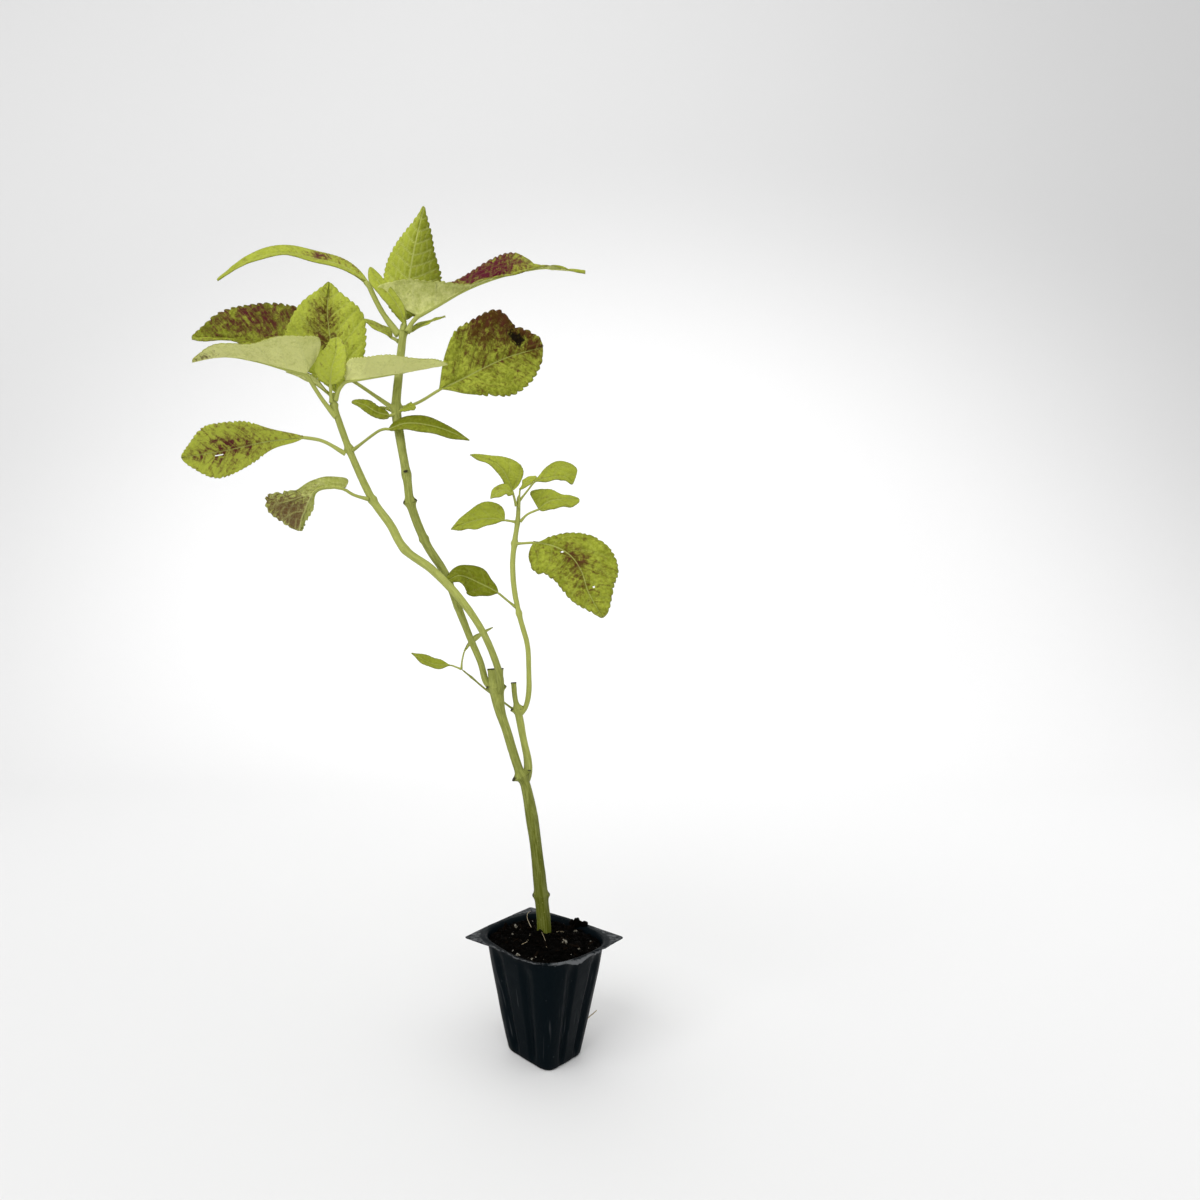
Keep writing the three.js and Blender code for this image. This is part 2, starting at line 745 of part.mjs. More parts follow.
function grainGeometry([x, y, radius], grow) {
  const grain = new THREE.IcosahedronGeometry(radius + grow, 1);
  grain.scale(1, GRAIN_SHAPE.alongY, GRAIN_SHAPE.alongZ);
  grain.translate(x, y, soilHeight(x, y) + GRAIN_SHAPE.standsOut * radius);
  return grain;
}

function soilSolid() {
  const inset = CELL.wall + GAP;
  const floor = CELL.floor + GAP;
  const rings = [
    cellRing(floor, CELL.footBevel + inset),
    ...[CELL.footBevel + CELL.floor, ...CELL.levels].map((z) => cellRing(z, inset + GAP)),
    cellRing(SOIL.rimZ, inset),
  ];
  for (const share of SOIL.ringShares) {
    rings.push(cellRing(SOIL.rimZ, inset).map(({ x, y }) => (
      new THREE.Vector3(share * x, share * y, soilHeight(share * x, share * y))
    )));
  }
  let body = toManifold(loft(rings));
  const [stemX, stemY] = STEMS.main_stem.points[0];
  const bore = SOIL.stemHoleRadius;
  const hole = new THREE.CylinderGeometry(bore, bore, SOIL.stemHoleLength, 12);
  hole.rotateX(Math.PI / 2);
  hole.translate(stemX, stemY, SOIL.stemHoleBottom + SOIL.stemHoleLength / 2);
  body = body.subtract(toManifold(hole));
  for (const grain of GRAINS) {
    body = body.subtract(toManifold(grainGeometry(grain, GAP)));
  }
  return fromManifold(body);
}

// ---- Roots outside the cell -------------------------------------------------------------------

// Fine roots that have grown out of the drainage slots. Each point is an angle around the cell, a
// height and how far the root stands off the wall there.
const ROOT_RADIUS = 0.45;
const ROOTS = {
  root_corner: [[71, 27, 0], [75, 19, 0], [82, 11, 0], [89, 4, 0]],
  root_middle: [[114, 26, 0], [119, 17, 0], [111, 10, 0], [98, 4, 0], [82, 1.2, 1.5]],
  root_right: [[128, 29, 0], [138, 21, 0], [150, 18, 0], [158, 16, 1.5]],
  root_left: [[43, 3, 0.5], [32, 5, 3], [26, 8, 8], [22, 13, 14]],
};

function wallRadius(degrees, z) {
  const ring = cellRing(z, 0);
  const near = ring.map((p) => Math.cos(Math.atan2(p.y, p.x) - radians(degrees)));
  const point = ring[near.indexOf(Math.max(...near))];
  return Math.hypot(point.x, point.y);
}

function rootRod(route) {
  const points = route.map(([degrees, z, lift]) => {
    const radius = wallRadius(degrees, z) + ROOT_RADIUS + 2 * GAP + lift;
    return [radius * Math.cos(radians(degrees)), radius * Math.sin(radians(degrees)), z];
  });
  return rod({ points, radii: [ROOT_RADIUS, ROOT_RADIUS], sides: 6 });
}

// ---- Assembly ---------------------------------------------------------------------------------

const plant = new THREE.Group();

function addPiece(parent, name, geometry, look) {
  const mesh = new THREE.Mesh(geometry, material(look));
  mesh.name = name;
  parent.add(mesh);
}

const potGroup = new THREE.Group();
addPiece(potGroup, "cell", cellSolid(), FINISH.cell);
addPiece(potGroup, "compost", soilSolid(), FINISH.compost);
GRAINS.forEach((grain, k) => {
  const bare = grainGeometry(grain, 0);
  bare.deleteAttribute("normal");
  bare.deleteAttribute("uv");
  const whole = BufferGeometryUtils.mergeVertices(bare, 1e-4);
  addPiece(potGroup, `perlite_grain_${k + 1}`, whole, FINISH.perlite);
});
for (const [name, route] of Object.entries(ROOTS)) {
  addPiece(potGroup, name, rootRod(route), FINISH.root);
}
plant.add(potGroup);

const stemGroup = new THREE.Group();
for (const [name, stem] of Object.entries(STEMS)) {
  addPiece(stemGroup, name, rod(stem), FINISH.stem);
}
plant.add(stemGroup);

const leafGroup = new THREE.Group();
for (const [name, leaf] of Object.entries(LEAVES)) {
  addPiece(leafGroup, name, leafSolid(leaf), FINISH[leaf.look]);
}
plant.add(leafGroup);

export default plant;
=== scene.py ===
"""A young coleus in a black tray cell: leaves, stems, compost and roots on the part's own frame.

Lengths in the tables are millimetres, +Z up, from the centre of the cell's flat base. The plant
leans to -X, and the viewer stands at -Y.
"""
import itertools
import json
import math
import random

import bmesh
import bpy
import numpy as np
from bpy.props import FloatProperty, FloatVectorProperty, IntProperty, PointerProperty
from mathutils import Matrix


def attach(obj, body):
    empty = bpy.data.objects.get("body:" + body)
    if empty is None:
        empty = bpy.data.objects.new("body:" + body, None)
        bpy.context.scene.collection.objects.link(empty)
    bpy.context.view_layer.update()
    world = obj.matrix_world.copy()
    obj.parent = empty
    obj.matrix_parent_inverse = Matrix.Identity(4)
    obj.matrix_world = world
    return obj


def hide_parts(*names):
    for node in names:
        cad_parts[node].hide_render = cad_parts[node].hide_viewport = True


bl_info = {
    "name": "Potted coleus",
    "version": (1, 0, 0),
    "blender": (4, 5, 0),
    "location": "3D View > Sidebar > Coleus",
    "description": "Builds a young coleus in its tray cell, piece by piece",
    "category": "Add Mesh",
}

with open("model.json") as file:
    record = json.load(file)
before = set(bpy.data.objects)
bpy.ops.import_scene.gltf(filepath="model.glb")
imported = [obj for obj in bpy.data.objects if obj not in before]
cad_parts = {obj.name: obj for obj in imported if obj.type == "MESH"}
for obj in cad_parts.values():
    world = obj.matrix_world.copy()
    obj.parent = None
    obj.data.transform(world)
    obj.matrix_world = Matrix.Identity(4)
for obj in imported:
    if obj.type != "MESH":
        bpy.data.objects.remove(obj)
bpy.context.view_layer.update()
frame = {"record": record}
BODY = "root"
MM = 0.001

# Name of the map that grain and streaks follow, and its size for one millimetre.
GRAIN_MAP = "Grain"
MAP_SCALE = 0.01


def shade(code):
    """Scene-linear colour of a display colour written as rrggbb."""
    display = [int(code[k : k + 2], 16) / 255 for k in (0, 2, 4)]
    return tuple(c / 12.92 if c <= 0.04045 else ((c + 0.055) / 1.055) ** 2.4 for c in display)


# ---- Leaves -------------------------------------------------------------------------------------
#
# stalk         points along the leaf stalk, which ends where the rib begins
# rib           points along the midrib, base to tip
# face          the way the upper side looks, one direction or several spread along the rib
# left, right   half widths seen from above, base to tip: five stand at 7, 25, 50, 75 and 93 % of
#               the rib and a longer row is spread likewise; without right, both halves are alike
# fold          degrees that both halves are folded up, one value or a row spread like the widths;
#               fold_left and fold_right are for one half
# heel          how far the lobes beside the base reach back, as a share of the width there
# stain         burgundy patches on the upper side: share along the rib, share across (-1 is the
#               left margin), reach along, reach across, strength
# dapple, wine  how much of the whole upper side is stained, and how red the stains are
# scorch  dents with painted shade, dark as inside a curl: share along, share across, reach along,
# reach across, depth
# under         how mauve the underside is; under_stain holds patches like those of stain
# light         how bright and yellow the green is; bright_side paints one half lighter, as light from one side would, adding towards the right margin
# mottle        how uneven the green of the upper side is
# pale_veins    how pale the veins of the upper side are
# vein_rows     number of side veins, or 0 for as many as the length asks for
# stalk_radius  radius of the leaf stalk
# holes         bitten holes: share along, share across, half length, half width
# teeth         depth of the teeth, 1 is usual; smooth_base is the share of the rib without them

# Half width of a large leaf; teeth and relief are finer on smaller ones.
LARGE_LEAF = 18

# Look of the young leaves of the side shoot.
YOUNG = dict(dapple=0.0, teeth=0.3, mottle=0.35)


def leaf(stalk, rib, face, left, right=None, fold=(8,), fold_left=None, fold_right=None, **look):
    """One leaf's shape and look, with everything left out filled in."""
    usual = dict(
        heel=0, stain=(), dapple=0.1, wine=1.0, under=0.15, under_stain=(), light=0.5,
        stalk_radius=0.7, holes=(), scorch=(), teeth=1.0, smooth_base=0.04, pale_veins=0.4,
        mottle=1.0, bright_side=0.0, vein_rows=0,
    )
    shape = dict(
        stalk=[*stalk, rib[0]], rib=rib, face=face, left=left, right=right or left,
        fold_left=fold_left or fold, fold_right=fold_right or fold,
    )
    return {**usual, **shape, **look}


LEAVES = {
    "crown_leaf_upright": leaf(
        [(-66, -6, 341)],
        [(-66, -5, 344), (-65, 0, 360), (-62, 1, 379), (-59, 0, 392), (-57, -2, 399)],
        [(0, -1, 0)], (4, 10.5, 13.5, 8, 2.2), (4, 11, 15.5, 8.5, 2.5), (-20,),
        under=0.1, dapple=0.0, teeth=1.2, pale_veins=1.0, mottle=0.4, bright_side=-0.34,
        vein_rows=10,
    ),
    "crown_leaf_small": leaf(
        [(-67, -9, 337)],
        [(-66, -10, 340), (-68, -12, 345), (-73, -13, 352), (-78, -12, 358), (-82, -10, 366)],
        [(-0.5, -0.7, 0.8)], (2, 4, 5, 4, 2), (1.5, 2.5, 2.5, 2.5, 1.2), (20,),
        light=0.75, dapple=0.0, teeth=0.5, mottle=0.4,
    ),
    "crown_leaf_right": leaf(
        [(-65, -10, 336), (-63, -10, 340)],
        [(-60, -9, 344), (-50, -8, 350), (-37, -6, 358), (-20, -4, 365), (1, 0, 371), (20, 2, 370)],
        [(0, 0, 1)],
        (
            5, 6, 6.5, 6.5, 6.5, 7.4, 8.4, 9.4, 10.2, 11.0, 12.0, 13.2, 13.6, 1.0, 1.1, 1.2, 1, 0.8,
            0.6,
        ),
        (18, 17, 9.5, 1.8, 1.0, 1.0, 1.0, 1.0, 0.8), fold_left=(55, 55, 50, 55, 70, 60, 30, 25, 22),
        fold_right=(78, 72, 50, 6, -14, -18, -20, -20, -20),
        heel=0.8, stain=[(0.46, -0.5, 0.27, 1.4, 0.9), (0.3, 0.4, 0.2, 0.4, 0.5)], under=0.0,
        light=0.64, stalk_radius=1.0, mottle=0.6,
    ),
    "crown_leaf_left": leaf(
        [(-69, -7, 336), (-77, -8, 347)],
        [
            (-84, -8, 361), (-95, -8, 367.6), (-107, -8, 371), (-122, -7, 374.4), (-138, -6, 371.4),
            (-154, -4, 363),
        ],
        [(0, -0.72, 0.7)], (3.5, 6, 7, 6, 2),
        stain=[(0.33, 0.35, 0.08, 0.6, 0.75), (0.17, 0.8, 0.08, 0.35, 0.6)], under=0.05,
        under_stain=[(0.3, 0.6, 0.15, 0.5, 0.9)], light=0.7, stalk_radius=1.15, teeth=0.6,
        mottle=0.5,
    ),
    "crown_leaflet_right": leaf(
        [(-67, -7, 336)],
        [(-63, -5, 339), (-57, -3, 343), (-47, -2, 347)],
        [(0, -0.4, 0.9)], (2, 5.5, 6.5, 5, 1.5), fold=(4,),
        under=0.2, light=0.85, dapple=0.0,
    ),
    "crown_leaflet_left": leaf(
        [(-69, -5, 334)],
        [(-72, -2, 337), (-80, 1, 344), (-92, 4, 350)],
        [(0, -0.4, 0.9)], (2, 5.5, 6.5, 5, 1.5), fold=(4,),
        stain=[(0.3, 0, 0.4, 1, 0.3)], under=0.6, light=0.95,
    ),
    "middle_leaf_right": leaf(
        [(-69, -12, 300), (-60, -9, 304)],
        [(-50, -6, 311), (-40, -5, 316), (-27, -4, 323), (-16, -3, 328), (-1, -1, 333)],
        [(0.1, -1, -0.1)],
        (
            0.8, 2.2, 4.8, 8.2, 11.9, 15.2, 18.2, 20.2, 21, 21.3, 21.5, 21.5, 19.8, 12.6, 10.5, 9,
            6.4, 5.5, 4,
        ),
        (0.8, 3, 7, 11.8, 16, 16.6, 14.2, 9.4, 4.5), (6,),
        stain=[
            (0.66, -0.95, 0.25, 0.4, 0.75), (0.98, -0.2, 0.22, 0.9, 0.7),
            (0.52, -0.3, 0.26, 0.6, 0.42),
        ],
        dapple=0.2, wine=0.3, scorch=[(0.8, -0.5, 0.075, 0.32, 2.6)], under=0.7, light=0.6,
        stalk_radius=0.65, smooth_base=0.25, pale_veins=0.15, mottle=1.1,
    ),
    "middle_leaf_left": leaf(
        [(-71, -9, 301), (-88, -5, 314)],
        [(-98, -1, 321), (-116, 0, 329), (-134, 1, 335), (-150, 0, 337), (-166, -4, 336)],
        [(0, 0, 1)], (2, 4, 9, 10, 4), (12, 21.5, 21, 16, 5), fold_left=(-28,),
        fold_right=(88, 88, 86, 85, 80),
        stain=[(0.68, 0.6, 0.3, 0.55, 0.46), (0.4, 0.75, 0.3, 0.5, 0.1)], dapple=0.28, wine=0.62,
        under=0.55, light=0.42, stalk_radius=0.75, pale_veins=0.2,
    ),
    "bud_leaf_left": leaf(
        [(-70, -14, 297)],
        [(-73, -15, 296), (-79, -17, 297), (-84, -17, 300), (-90, -16, 302)],
        [(0, -0.8, 0.5)], (3, 4, 3.5, 2.5, 1.2), (2.5, 3.5, 3.5, 3, 1.5),
        light=0.24, dapple=0.05, pale_veins=0.2, mottle=0.6,
    ),
    "bud_leaf_back": leaf(
        [(-70, -8, 299)],
        [(-71, -5, 301), (-71, 3, 305), (-70, 9, 307)],
        [(0, 0.2, 1)], (3, 6, 7, 5, 2), fold=(10,),
        light=0.6, dapple=0.05,
    ),
    "bud_leaf_right": leaf(
        [(-69, -13, 298)],
        [(-67, -15, 299), (-64, -17, 299), (-61, -17, 299)],
        [(0, -0.7, 0.7)], (2.5, 4.6, 4.6, 3.4, 1.4),
        light=0.6, dapple=0.05, pale_veins=0.2, mottle=0.6,
    ),
    "lower_leaf_right": leaf(
        [(-91, -4, 283), (-78, -15, 289)],
        [(-73, -18, 289), (-64, -20, 291), (-51, -20, 289), (-37, -18, 284)],
        [(0, -0.8, 0.5)], (2.5, 4.5, 4.5, 2.5, 1), (2.5, 5, 5.6, 4.4, 1.6),
        light=0.12, dapple=0.05, stalk_radius=0.6, teeth=0.3, pale_veins=0.15, mottle=0.6,
        bright_side=0.15,
    ),
    "lower_leaf_left": leaf(
        [(-94, -3, 282), (-104, -6, 287)],
        [(-113, -9, 288), (-130, -12, 285), (-147, -16, 280), (-166, -19, 276)],
        [(-0.1, -0.75, -0.55)], (1.6, 3.6, 8.6, 11.5, 5), (2, 6, 12, 12.5, 4.5),
        stain=[(0.6, 0.05, 0.3, 0.55, 0.54)], dapple=0.25, wine=0.8, under=0.5, light=1.4,
        holes=[(0.7, -0.14, 2.0, 0.32)], stalk_radius=0.75, smooth_base=0.3, pale_veins=0.2,
    ),
    "drooping_leaf": leaf(
        [(-83, -1, 261), (-90, -1, 263)],
        [
            (-95, -1, 266), (-102, 0, 267), (-107, 0, 266), (-110, 0, 264), (-112, 0, 260),
            (-114, 0, 255), (-115, -1, 252), (-116, -2, 246),
        ],
        [(0, 0.6, 0.8), (-0.1, 0.7, 0.6), (-0.3, 0.9, 0.2), (-0.3, 0.95, 0), (-0.3, 0.95, 0)],
        (6, 5, 6.5, 19, 7), (3, 4, 6, 7, 3), fold_left=(8,), fold_right=(60,),
        heel=0.9, stain=[(0.7, 0, 0.5, 1, 0.7)], under=0.0, under_stain=[(0.85, -0.3, 0.4, 1, 1.0)],
        light=0.3, teeth=1.5, pale_veins=0.1, smooth_base=0.5,
    ),
    "pale_leaf_left": leaf(
        [(-98, -7, 298), (-104, -10, 305)],
        [
            (-111, -13, 315.5), (-120, -17, 316.5), (-132, -22, 318), (-145, -27, 318),
            (-158, -29, 315),
        ],
        [(0, 0, 1)], (15.5, 17.5, 13.8, 10, 3.6), (9, 12, 12, 10, 4), fold_left=(56, 34, 13, 4, 20),
        fold_right=(24,),
        heel=0.5, stain=[(0.5, 0, 0.3, 0.8, 0.6), (0.85, 0, 0.2, 0.9, 0.5)], dapple=0.2, under=0.0,
        under_stain=[(0.95, 0, 0.22, 1, 0.5)], light=0.98, stalk_radius=0.9, teeth=0.4, mottle=0.6,
    ),
    "pale_leaf_upright": leaf(
        [(-99, -7, 304)],
        [(-98, -6, 310), (-100, -6, 329), (-102, -7, 346), (-101, -8, 360)],
        [(0, -1, -0.1)], (4, 14, 21, 14, 4), (4, 13.5, 17, 15, 4.5),
        stain=[(0.68, -0.12, 0.28, 0.5, 0.7), (0.42, 0.1, 0.2, 0.45, 0.3)], dapple=0.02, wine=0.35,
        under=0.2, light=0.86, teeth=0.65, pale_veins=0.6, mottle=0.6, bright_side=-0.05,
    ),
    "pale_leaf_right": leaf(
        [(-98, -9, 305), (-96, -12, 309)],
        [(-93, -14, 312), (-82, -18, 312), (-66, -22, 313), (-47, -21, 317)],
        [(0, 0, 1)], (5, 8, 8, 6, 3), (8, 11, 11, 8, 3), fold_left=(22,),
        fold_right=(50, 31, 21, 11, 10),
        stain=[(0.4, 0, 0.3, 0.6, 0.45)], under=0.0, light=1.08, stalk_radius=0.8, mottle=0.5,
    ),
    "pale_leaf_back": leaf(
        [(-99, -6, 303)],
        [(-101, -2, 310), (-110, 1, 317), (-123, 3, 323)],
        [(0, 0.1, 1)], (1.5, 5, 6, 5, 2), fold=(15,),
        light=0.6,
    ),
    "pale_leaf_small": leaf(
        [(-100, -9, 304)],
        [(-100, -13, 311), (-99, -16, 317), (-97, -17, 324), (-97, -16, 331)],
        [(0, -1, 0.2)], (4.5, 7.6, 6.9, 4.4, 2.6), (4, 7.0, 6.4, 4.0, 2.4), (18,),
        light=0.95, dapple=0.0, teeth=1.6, pale_veins=0.45, mottle=0.6, vein_rows=7,
    ),
    "tip_leaf_left": leaf(
        [(-14, -5, 257)],
        [(-16, -6, 264), (-19, -8, 270), (-22, -9, 274), (-27, -10, 277), (-36, -9, 280)],
        [(0, -0.7, 0.5)], (1.5, 3.5, 4, 3, 1), (5, 9.5, 5.5, 2.2, 1), (10,),
        light=0.64, stalk_radius=0.5, **YOUNG,
    ),
    "tip_leaf_small": leaf(
        [(-14, -6, 257)],
        [(-16, -9, 262), (-21, -11, 263), (-27, -13, 259)],
        [(-0.2, -0.8, 0.5)], (1.5, 3.6, 3.6, 2.8, 1), fold=(10,),
        light=0.62, stalk_radius=0.4, **YOUNG,
    ),
    "tip_leaf_right": leaf(
        [(-13, -5, 259), (-9, -6, 264)],
        [(-6, -7, 268), (1, -6, 270), (8, -4, 271), (13, -3, 268)],
        [(0, -0.8, 0.5)], (0.8, 1.8, 3.2, 5.4, 7.4, 8.9, 9.2, 8.2, 4.8), (1, 2, 2.4, 2.4, 1.4),
        (5,),
        light=0.56, dapple=0.0, stalk_radius=0.45, teeth=0.2, mottle=0.35,
    ),
    "tip_leaf_centre": leaf(
        [(-13, -6, 256)],
        [(-13, -9, 264), (-11, -12, 266), (-6, -13, 269)],
        [(0, -0.7, 0.6)], (1, 2.5, 2.5, 2, 1), (1, 3, 3, 2, 1), (10,),
        light=0.62, stalk_radius=0.4, **YOUNG,
    ),
    "side_leaf_right": leaf(
        [(-12, -4, 250), (-9, -6, 253)],
        [(-4, -8, 255), (0, -10, 258), (6, -11, 259), (14, -11, 259)],
        [(0.1, -0.7, 0.6)], (8, 10.2, 9.6, 7.4, 4.8, 3, 2, 1.4, 1), (3, 6, 7, 6.5, 4),
        light=0.52, stalk_radius=0.5, **YOUNG,
    ),
    "side_leaf_left": leaf(
        [(-14, -3, 250)],
        [(-19, -2, 251), (-27, 0, 252), (-35, 3, 251), (-44, 6, 248)],
        [(0, -0.7, 0.55)], (1, 6, 7, 4.5, 1.5), (6.4, 10.6, 9.6, 4.6, 1.5),
        light=0.62, stalk_radius=0.5, **YOUNG,
    ),
    "broad_leaf": leaf(
        [(-14, -1, 240)],
        [
            (-6, -5, 240), (2, -9, 238), (9, -14, 233), (13, -19, 225), (15, -24, 215),
            (20, -28, 204),
        ],
        [(-0.1, -0.9, 0.3)], (1, 9, 16, 12, 5.5), (11, 16.5, 15, 9, 3), (6,),
        heel=0.25, stain=[(0.38, -0.05, 0.18, 0.45, 0.45), (0.66, 0.1, 0.28, 0.6, 0.34)],
        dapple=0.16, wine=0.35, under=0.35, light=0.46,
        holes=[(0.28, 0.05, 0.7, 0.6), (0.72, -0.25, 0.5, 0.7)], pale_veins=0.3, mottle=0.8,
        stalk_radius=0.55, teeth=0.7,
    ),
    "folded_leaf": leaf(
        [(-13, 2, 210), (-17, 1, 213)],
        [
            (-22, 0, 217), (-26.5, 0.6, 219.5), (-31, 1, 221.7), (-36, 0.5, 224),
            (-41, -1.5, 224.8), (-47, -3, 222),
        ],
        [(0, -0.8, 0.4)], (1.2, 3.8, 6, 8.2, 8.4, 6.8, 3.4, 2.2, 1.2),
        (1.2, 3, 4.8, 7.3, 7.6, 6.2, 4, 2.4, 1.2), (4,),
        light=0.12, dapple=0.05, holes=[(0.6, -0.1, 1.6, 0.35)], stalk_radius=0.5, teeth=0.1,
        pale_veins=0.25, mottle=0.5,
    ),
    "twig_leaf_left": leaf(
        [(-38, 18, 180)],
        [(-43, 18, 182), (-50, 18, 182), (-56, 18, 184), (-63, 18, 188)],
        [(0, -0.5, 0.8)], (1, 4, 4.5, 3.5, 1), fold=(12,),
        dapple=0.05, stalk_radius=0.4, teeth=0.6, mottle=0.4, pale_veins=0.3,
    ),
    "twig_leaf_right": leaf(
        [(-38, 18, 180), (-37.6, 19, 184)],
        [(-36.4, 20.5, 189), (-32.6, 22, 193), (-27.5, 22, 197), (-22, 20, 201)],
        [(-0.8, 0.35, 0.6)], (1, 3.4, 4, 3, 1), fold=(12,),
        light=0.3, stalk_radius=0.4, teeth=0.3, mottle=0.4,
    ),
}

# ---- Stems --------------------------------------------------------------------------------------
#
# points  down the middle, from inside what the stem grows out of to its end
# radii   spread evenly along the points
# nodes   joints of the stem: height, swelling, direction of the first leaf scar in degrees,
#         how dark
# cut     True where the top was cut off
# olive   how dark the green is, spread evenly along the points

STEMS = {
    "main_stem": dict(
        points=[
            (0, 1, 49), (0, 1, 60), (-1, 1, 70), (-3, 1, 90), (-6, 0, 111), (-9, 0, 126),
            (-12, 0, 133), (-15, 0, 142), (-18, 0, 152), (-21, 0, 161), (-22.5, 1, 171),
            (-23.1, 1, 181),
        ],
        radii=[3.3, 3.2, 3.1, 2.9, 2.7, 2.9, 2.4, 2.1, 2.1, 2.2, 3.1, 3.6],
        nodes=[(73, 0.7, 0, 0.8), (130, 2.0, 10, 1), (172, 1.0, 0, 1)],
        cut=True, olive=(1.2, 0.95, 0.72, 0.56, 0.5),
    ),
    "tall_shoot": dict(
        points=[
            (-23.2, 1.5, 170), (-27.4, 3, 175), (-30, 3, 184), (-35, 4, 196), (-41, 3, 211),
            (-47, 0, 226), (-56, -7, 239), (-63, -14, 255), (-65, -17, 267), (-68, -15, 285),
            (-70, -12, 300), (-69, -10, 315), (-68, -8, 326), (-67, -8, 335), (-66.5, -7, 342),
        ],
        radii=[1.6, 1.5, 1.6, 1.7, 1.8, 1.9, 1.9, 1.9, 1.9, 1.9, 2.1, 2.1, 1.9, 1.8, 1.5],
        nodes=[
            (211, 0.2, 60, 0.1), (241, 0.3, 0, 0.2), (257, 0.9, 0, 1), (269, 0.6, 90, 1),
            (301, 0.7, 0, 0.1), (337, 0.5, 0, 0.1),
        ],
        cut=False, olive=(0.5, 0.46, 0.5, 0.46, 0.36),
    ),
    "pale_shoot": dict(
        points=[
            (-21.8, -0.5, 169.5), (-21.2, -3.8, 174), (-23.4, -7, 183), (-30, -9, 198),
            (-40, -8, 213), (-53, -5, 227), (-66, -3, 237), (-73, -1, 249), (-82, 0, 262),
            (-91, -3, 281), (-97, -6, 297), (-99, -8, 304), (-99, -8, 309),
        ],
        radii=[1.6, 1.6, 1.5, 1.6, 1.8, 1.9, 1.9, 1.9, 1.8, 1.7, 1.6, 1.5, 1.2],
        nodes=[(237, 0.45, 80, 0.3), (261, 0.4, 0, 0.1), (284, 0.5, 0, 0.1), (303, 0.5, 0, 0)],
        cut=False, olive=(0.6, 0.34, 0.28, 0.3, 0.3),
    ),
    "side_branch": dict(
        points=[
            (-9.5, 0.3, 126), (-7.6, 1.6, 131), (-7.2, 4, 137), (-9, 6, 147), (-11, 8, 159),
            (-12.6, 8, 166), (-13.4, 8, 174),
        ],
        radii=[2.0, 2.0, 1.8, 1.7, 1.8, 1.25, 1.15],
        nodes=[(161, 1.5, 0, 0.9)],
        cut=True, olive=(0.55, 0.35, 0.45),
    ),
    "side_shoot": dict(
        points=[
            (-10.6, 8, 158), (-7.6, 8, 162), (-6, 8, 169), (-6, 8, 179), (-7, 6, 192),
            (-11, 3, 205), (-14, 1, 218), (-15, 0, 231), (-14, -1, 242), (-13, -3, 251),
            (-13, -5, 258), (-13, -6, 262),
        ],
        radii=[1.3, 1.25, 1.2, 1.2, 1.2, 1.2, 1.2, 1.2, 1.2, 1.2, 1.0, 0.8],
        nodes=[(207, 0.3, 180, 0.2), (240, 0.4, 0, 0.2), (250, 0.4, 90, 0.1)],
        cut=False, olive=(0.35, 0.2, 0.3),
    ),
    "twig": dict(
        points=[
            (-11, 8.4, 160), (-13.6, 10.6, 161), (-19, 14, 165), (-26, 18, 170), (-33, 18, 176),
            (-38, 18, 180),
        ],
        radii=[0.75, 0.6, 0.5, 0.5, 0.5, 0.45],
        nodes=[(176, 0.15, 0, 0.3)],
        cut=False, olive=(0.5, 0.6),
    ),
}

# Rings that close a cut end: share of the stem's radius, step along the stem, how dark.
CUT_END = [(0.9, -0.1, 1.0), (0.75, -0.5, 0.8), (0.4, -0.55, 0.5), (0.1, -0.5, 0.4)]

# ---- Cell, compost, perlite, roots --------------------------------------------------------------

# Squareness 2 is a round section and more is squarer. A way is a direction around the cell, in
# degrees from +X: where the rim sags, where soil clings to the wall and where the lip is scuffed.
CELL = dict(
    height=54, floor=1.2, base_half_width=13.4, rim_half_width=24.3, base_squareness=5.2,
    rim_squareness=3, turn=-6, sag=1.3, sag_way=235, soil_way=100, scuff_way=-84,
)

# Upright grooves in the wall, two beside each corner; angles are in degrees.
GROOVE = dict(depth=1.5, from_corner=25, half_span=10)

# The flange is a diamond: how far its corners would reach, where they are cut off, how far its torn
# front reaches, and its thickness.
FLANGE = dict(edge=37.9, tip=37.3, front=27.2, thickness=0.5)

# Heights of the compost at the rim, in the middle and below, and how far in it stands from the
# outside of the wall.
SOIL = dict(rim=52.6, mound=55.6, bottom=1.6, clear=1.35)

# Radius of the small ring around the middle of a floor.
POLE = 2.0

# Points around each round thing.
AROUND = dict(cell=540, soil=300, stem=40, twig=12, stalk=12, root=12, side_root=8, fibre=5)

# Grains that stand out: x, y, radius.
GRAINS = [
    (-15, -16, 1.3), (-9, -19, 1), (8, -8, 1.6), (14, -12, 1.2), (4, 12, 1.3), (-12, 11, 1.5),
    (17, 9, 1.2), (-3, 18, 1),
]

# Clods of compost heaped on and against the rim: x, y, height, half length.
CLODS = [
    (19.5, 14.5, 54.4, 2.5), (22, 13, 54.4, 1.8), (17, 16, 54, 2), (-19, 8, 52.4, 1.4),
    (-12, 14, 52.4, 1.3),
]

# Roots along the outside: angle around the cell, height, how far it stands off the wall.
ROOTS = {
    "root_corner": [(71, 27, 0), (75, 19, 0), (82, 11, 0), (89, 4, 0)],
    "root_middle": [(114, 26, 0), (119, 17, 0), (111, 10, 0), (98, 4, 0), (82, 1.2, 1.5)],
    "root_right": [(128, 29, 0), (138, 21, 0), (150, 18, 0), (158, 16, 1.5)],
    "root_left": [(43, 3, 0.5), (32, 5, 3), (26, 8, 8), (22, 13, 14)],
}

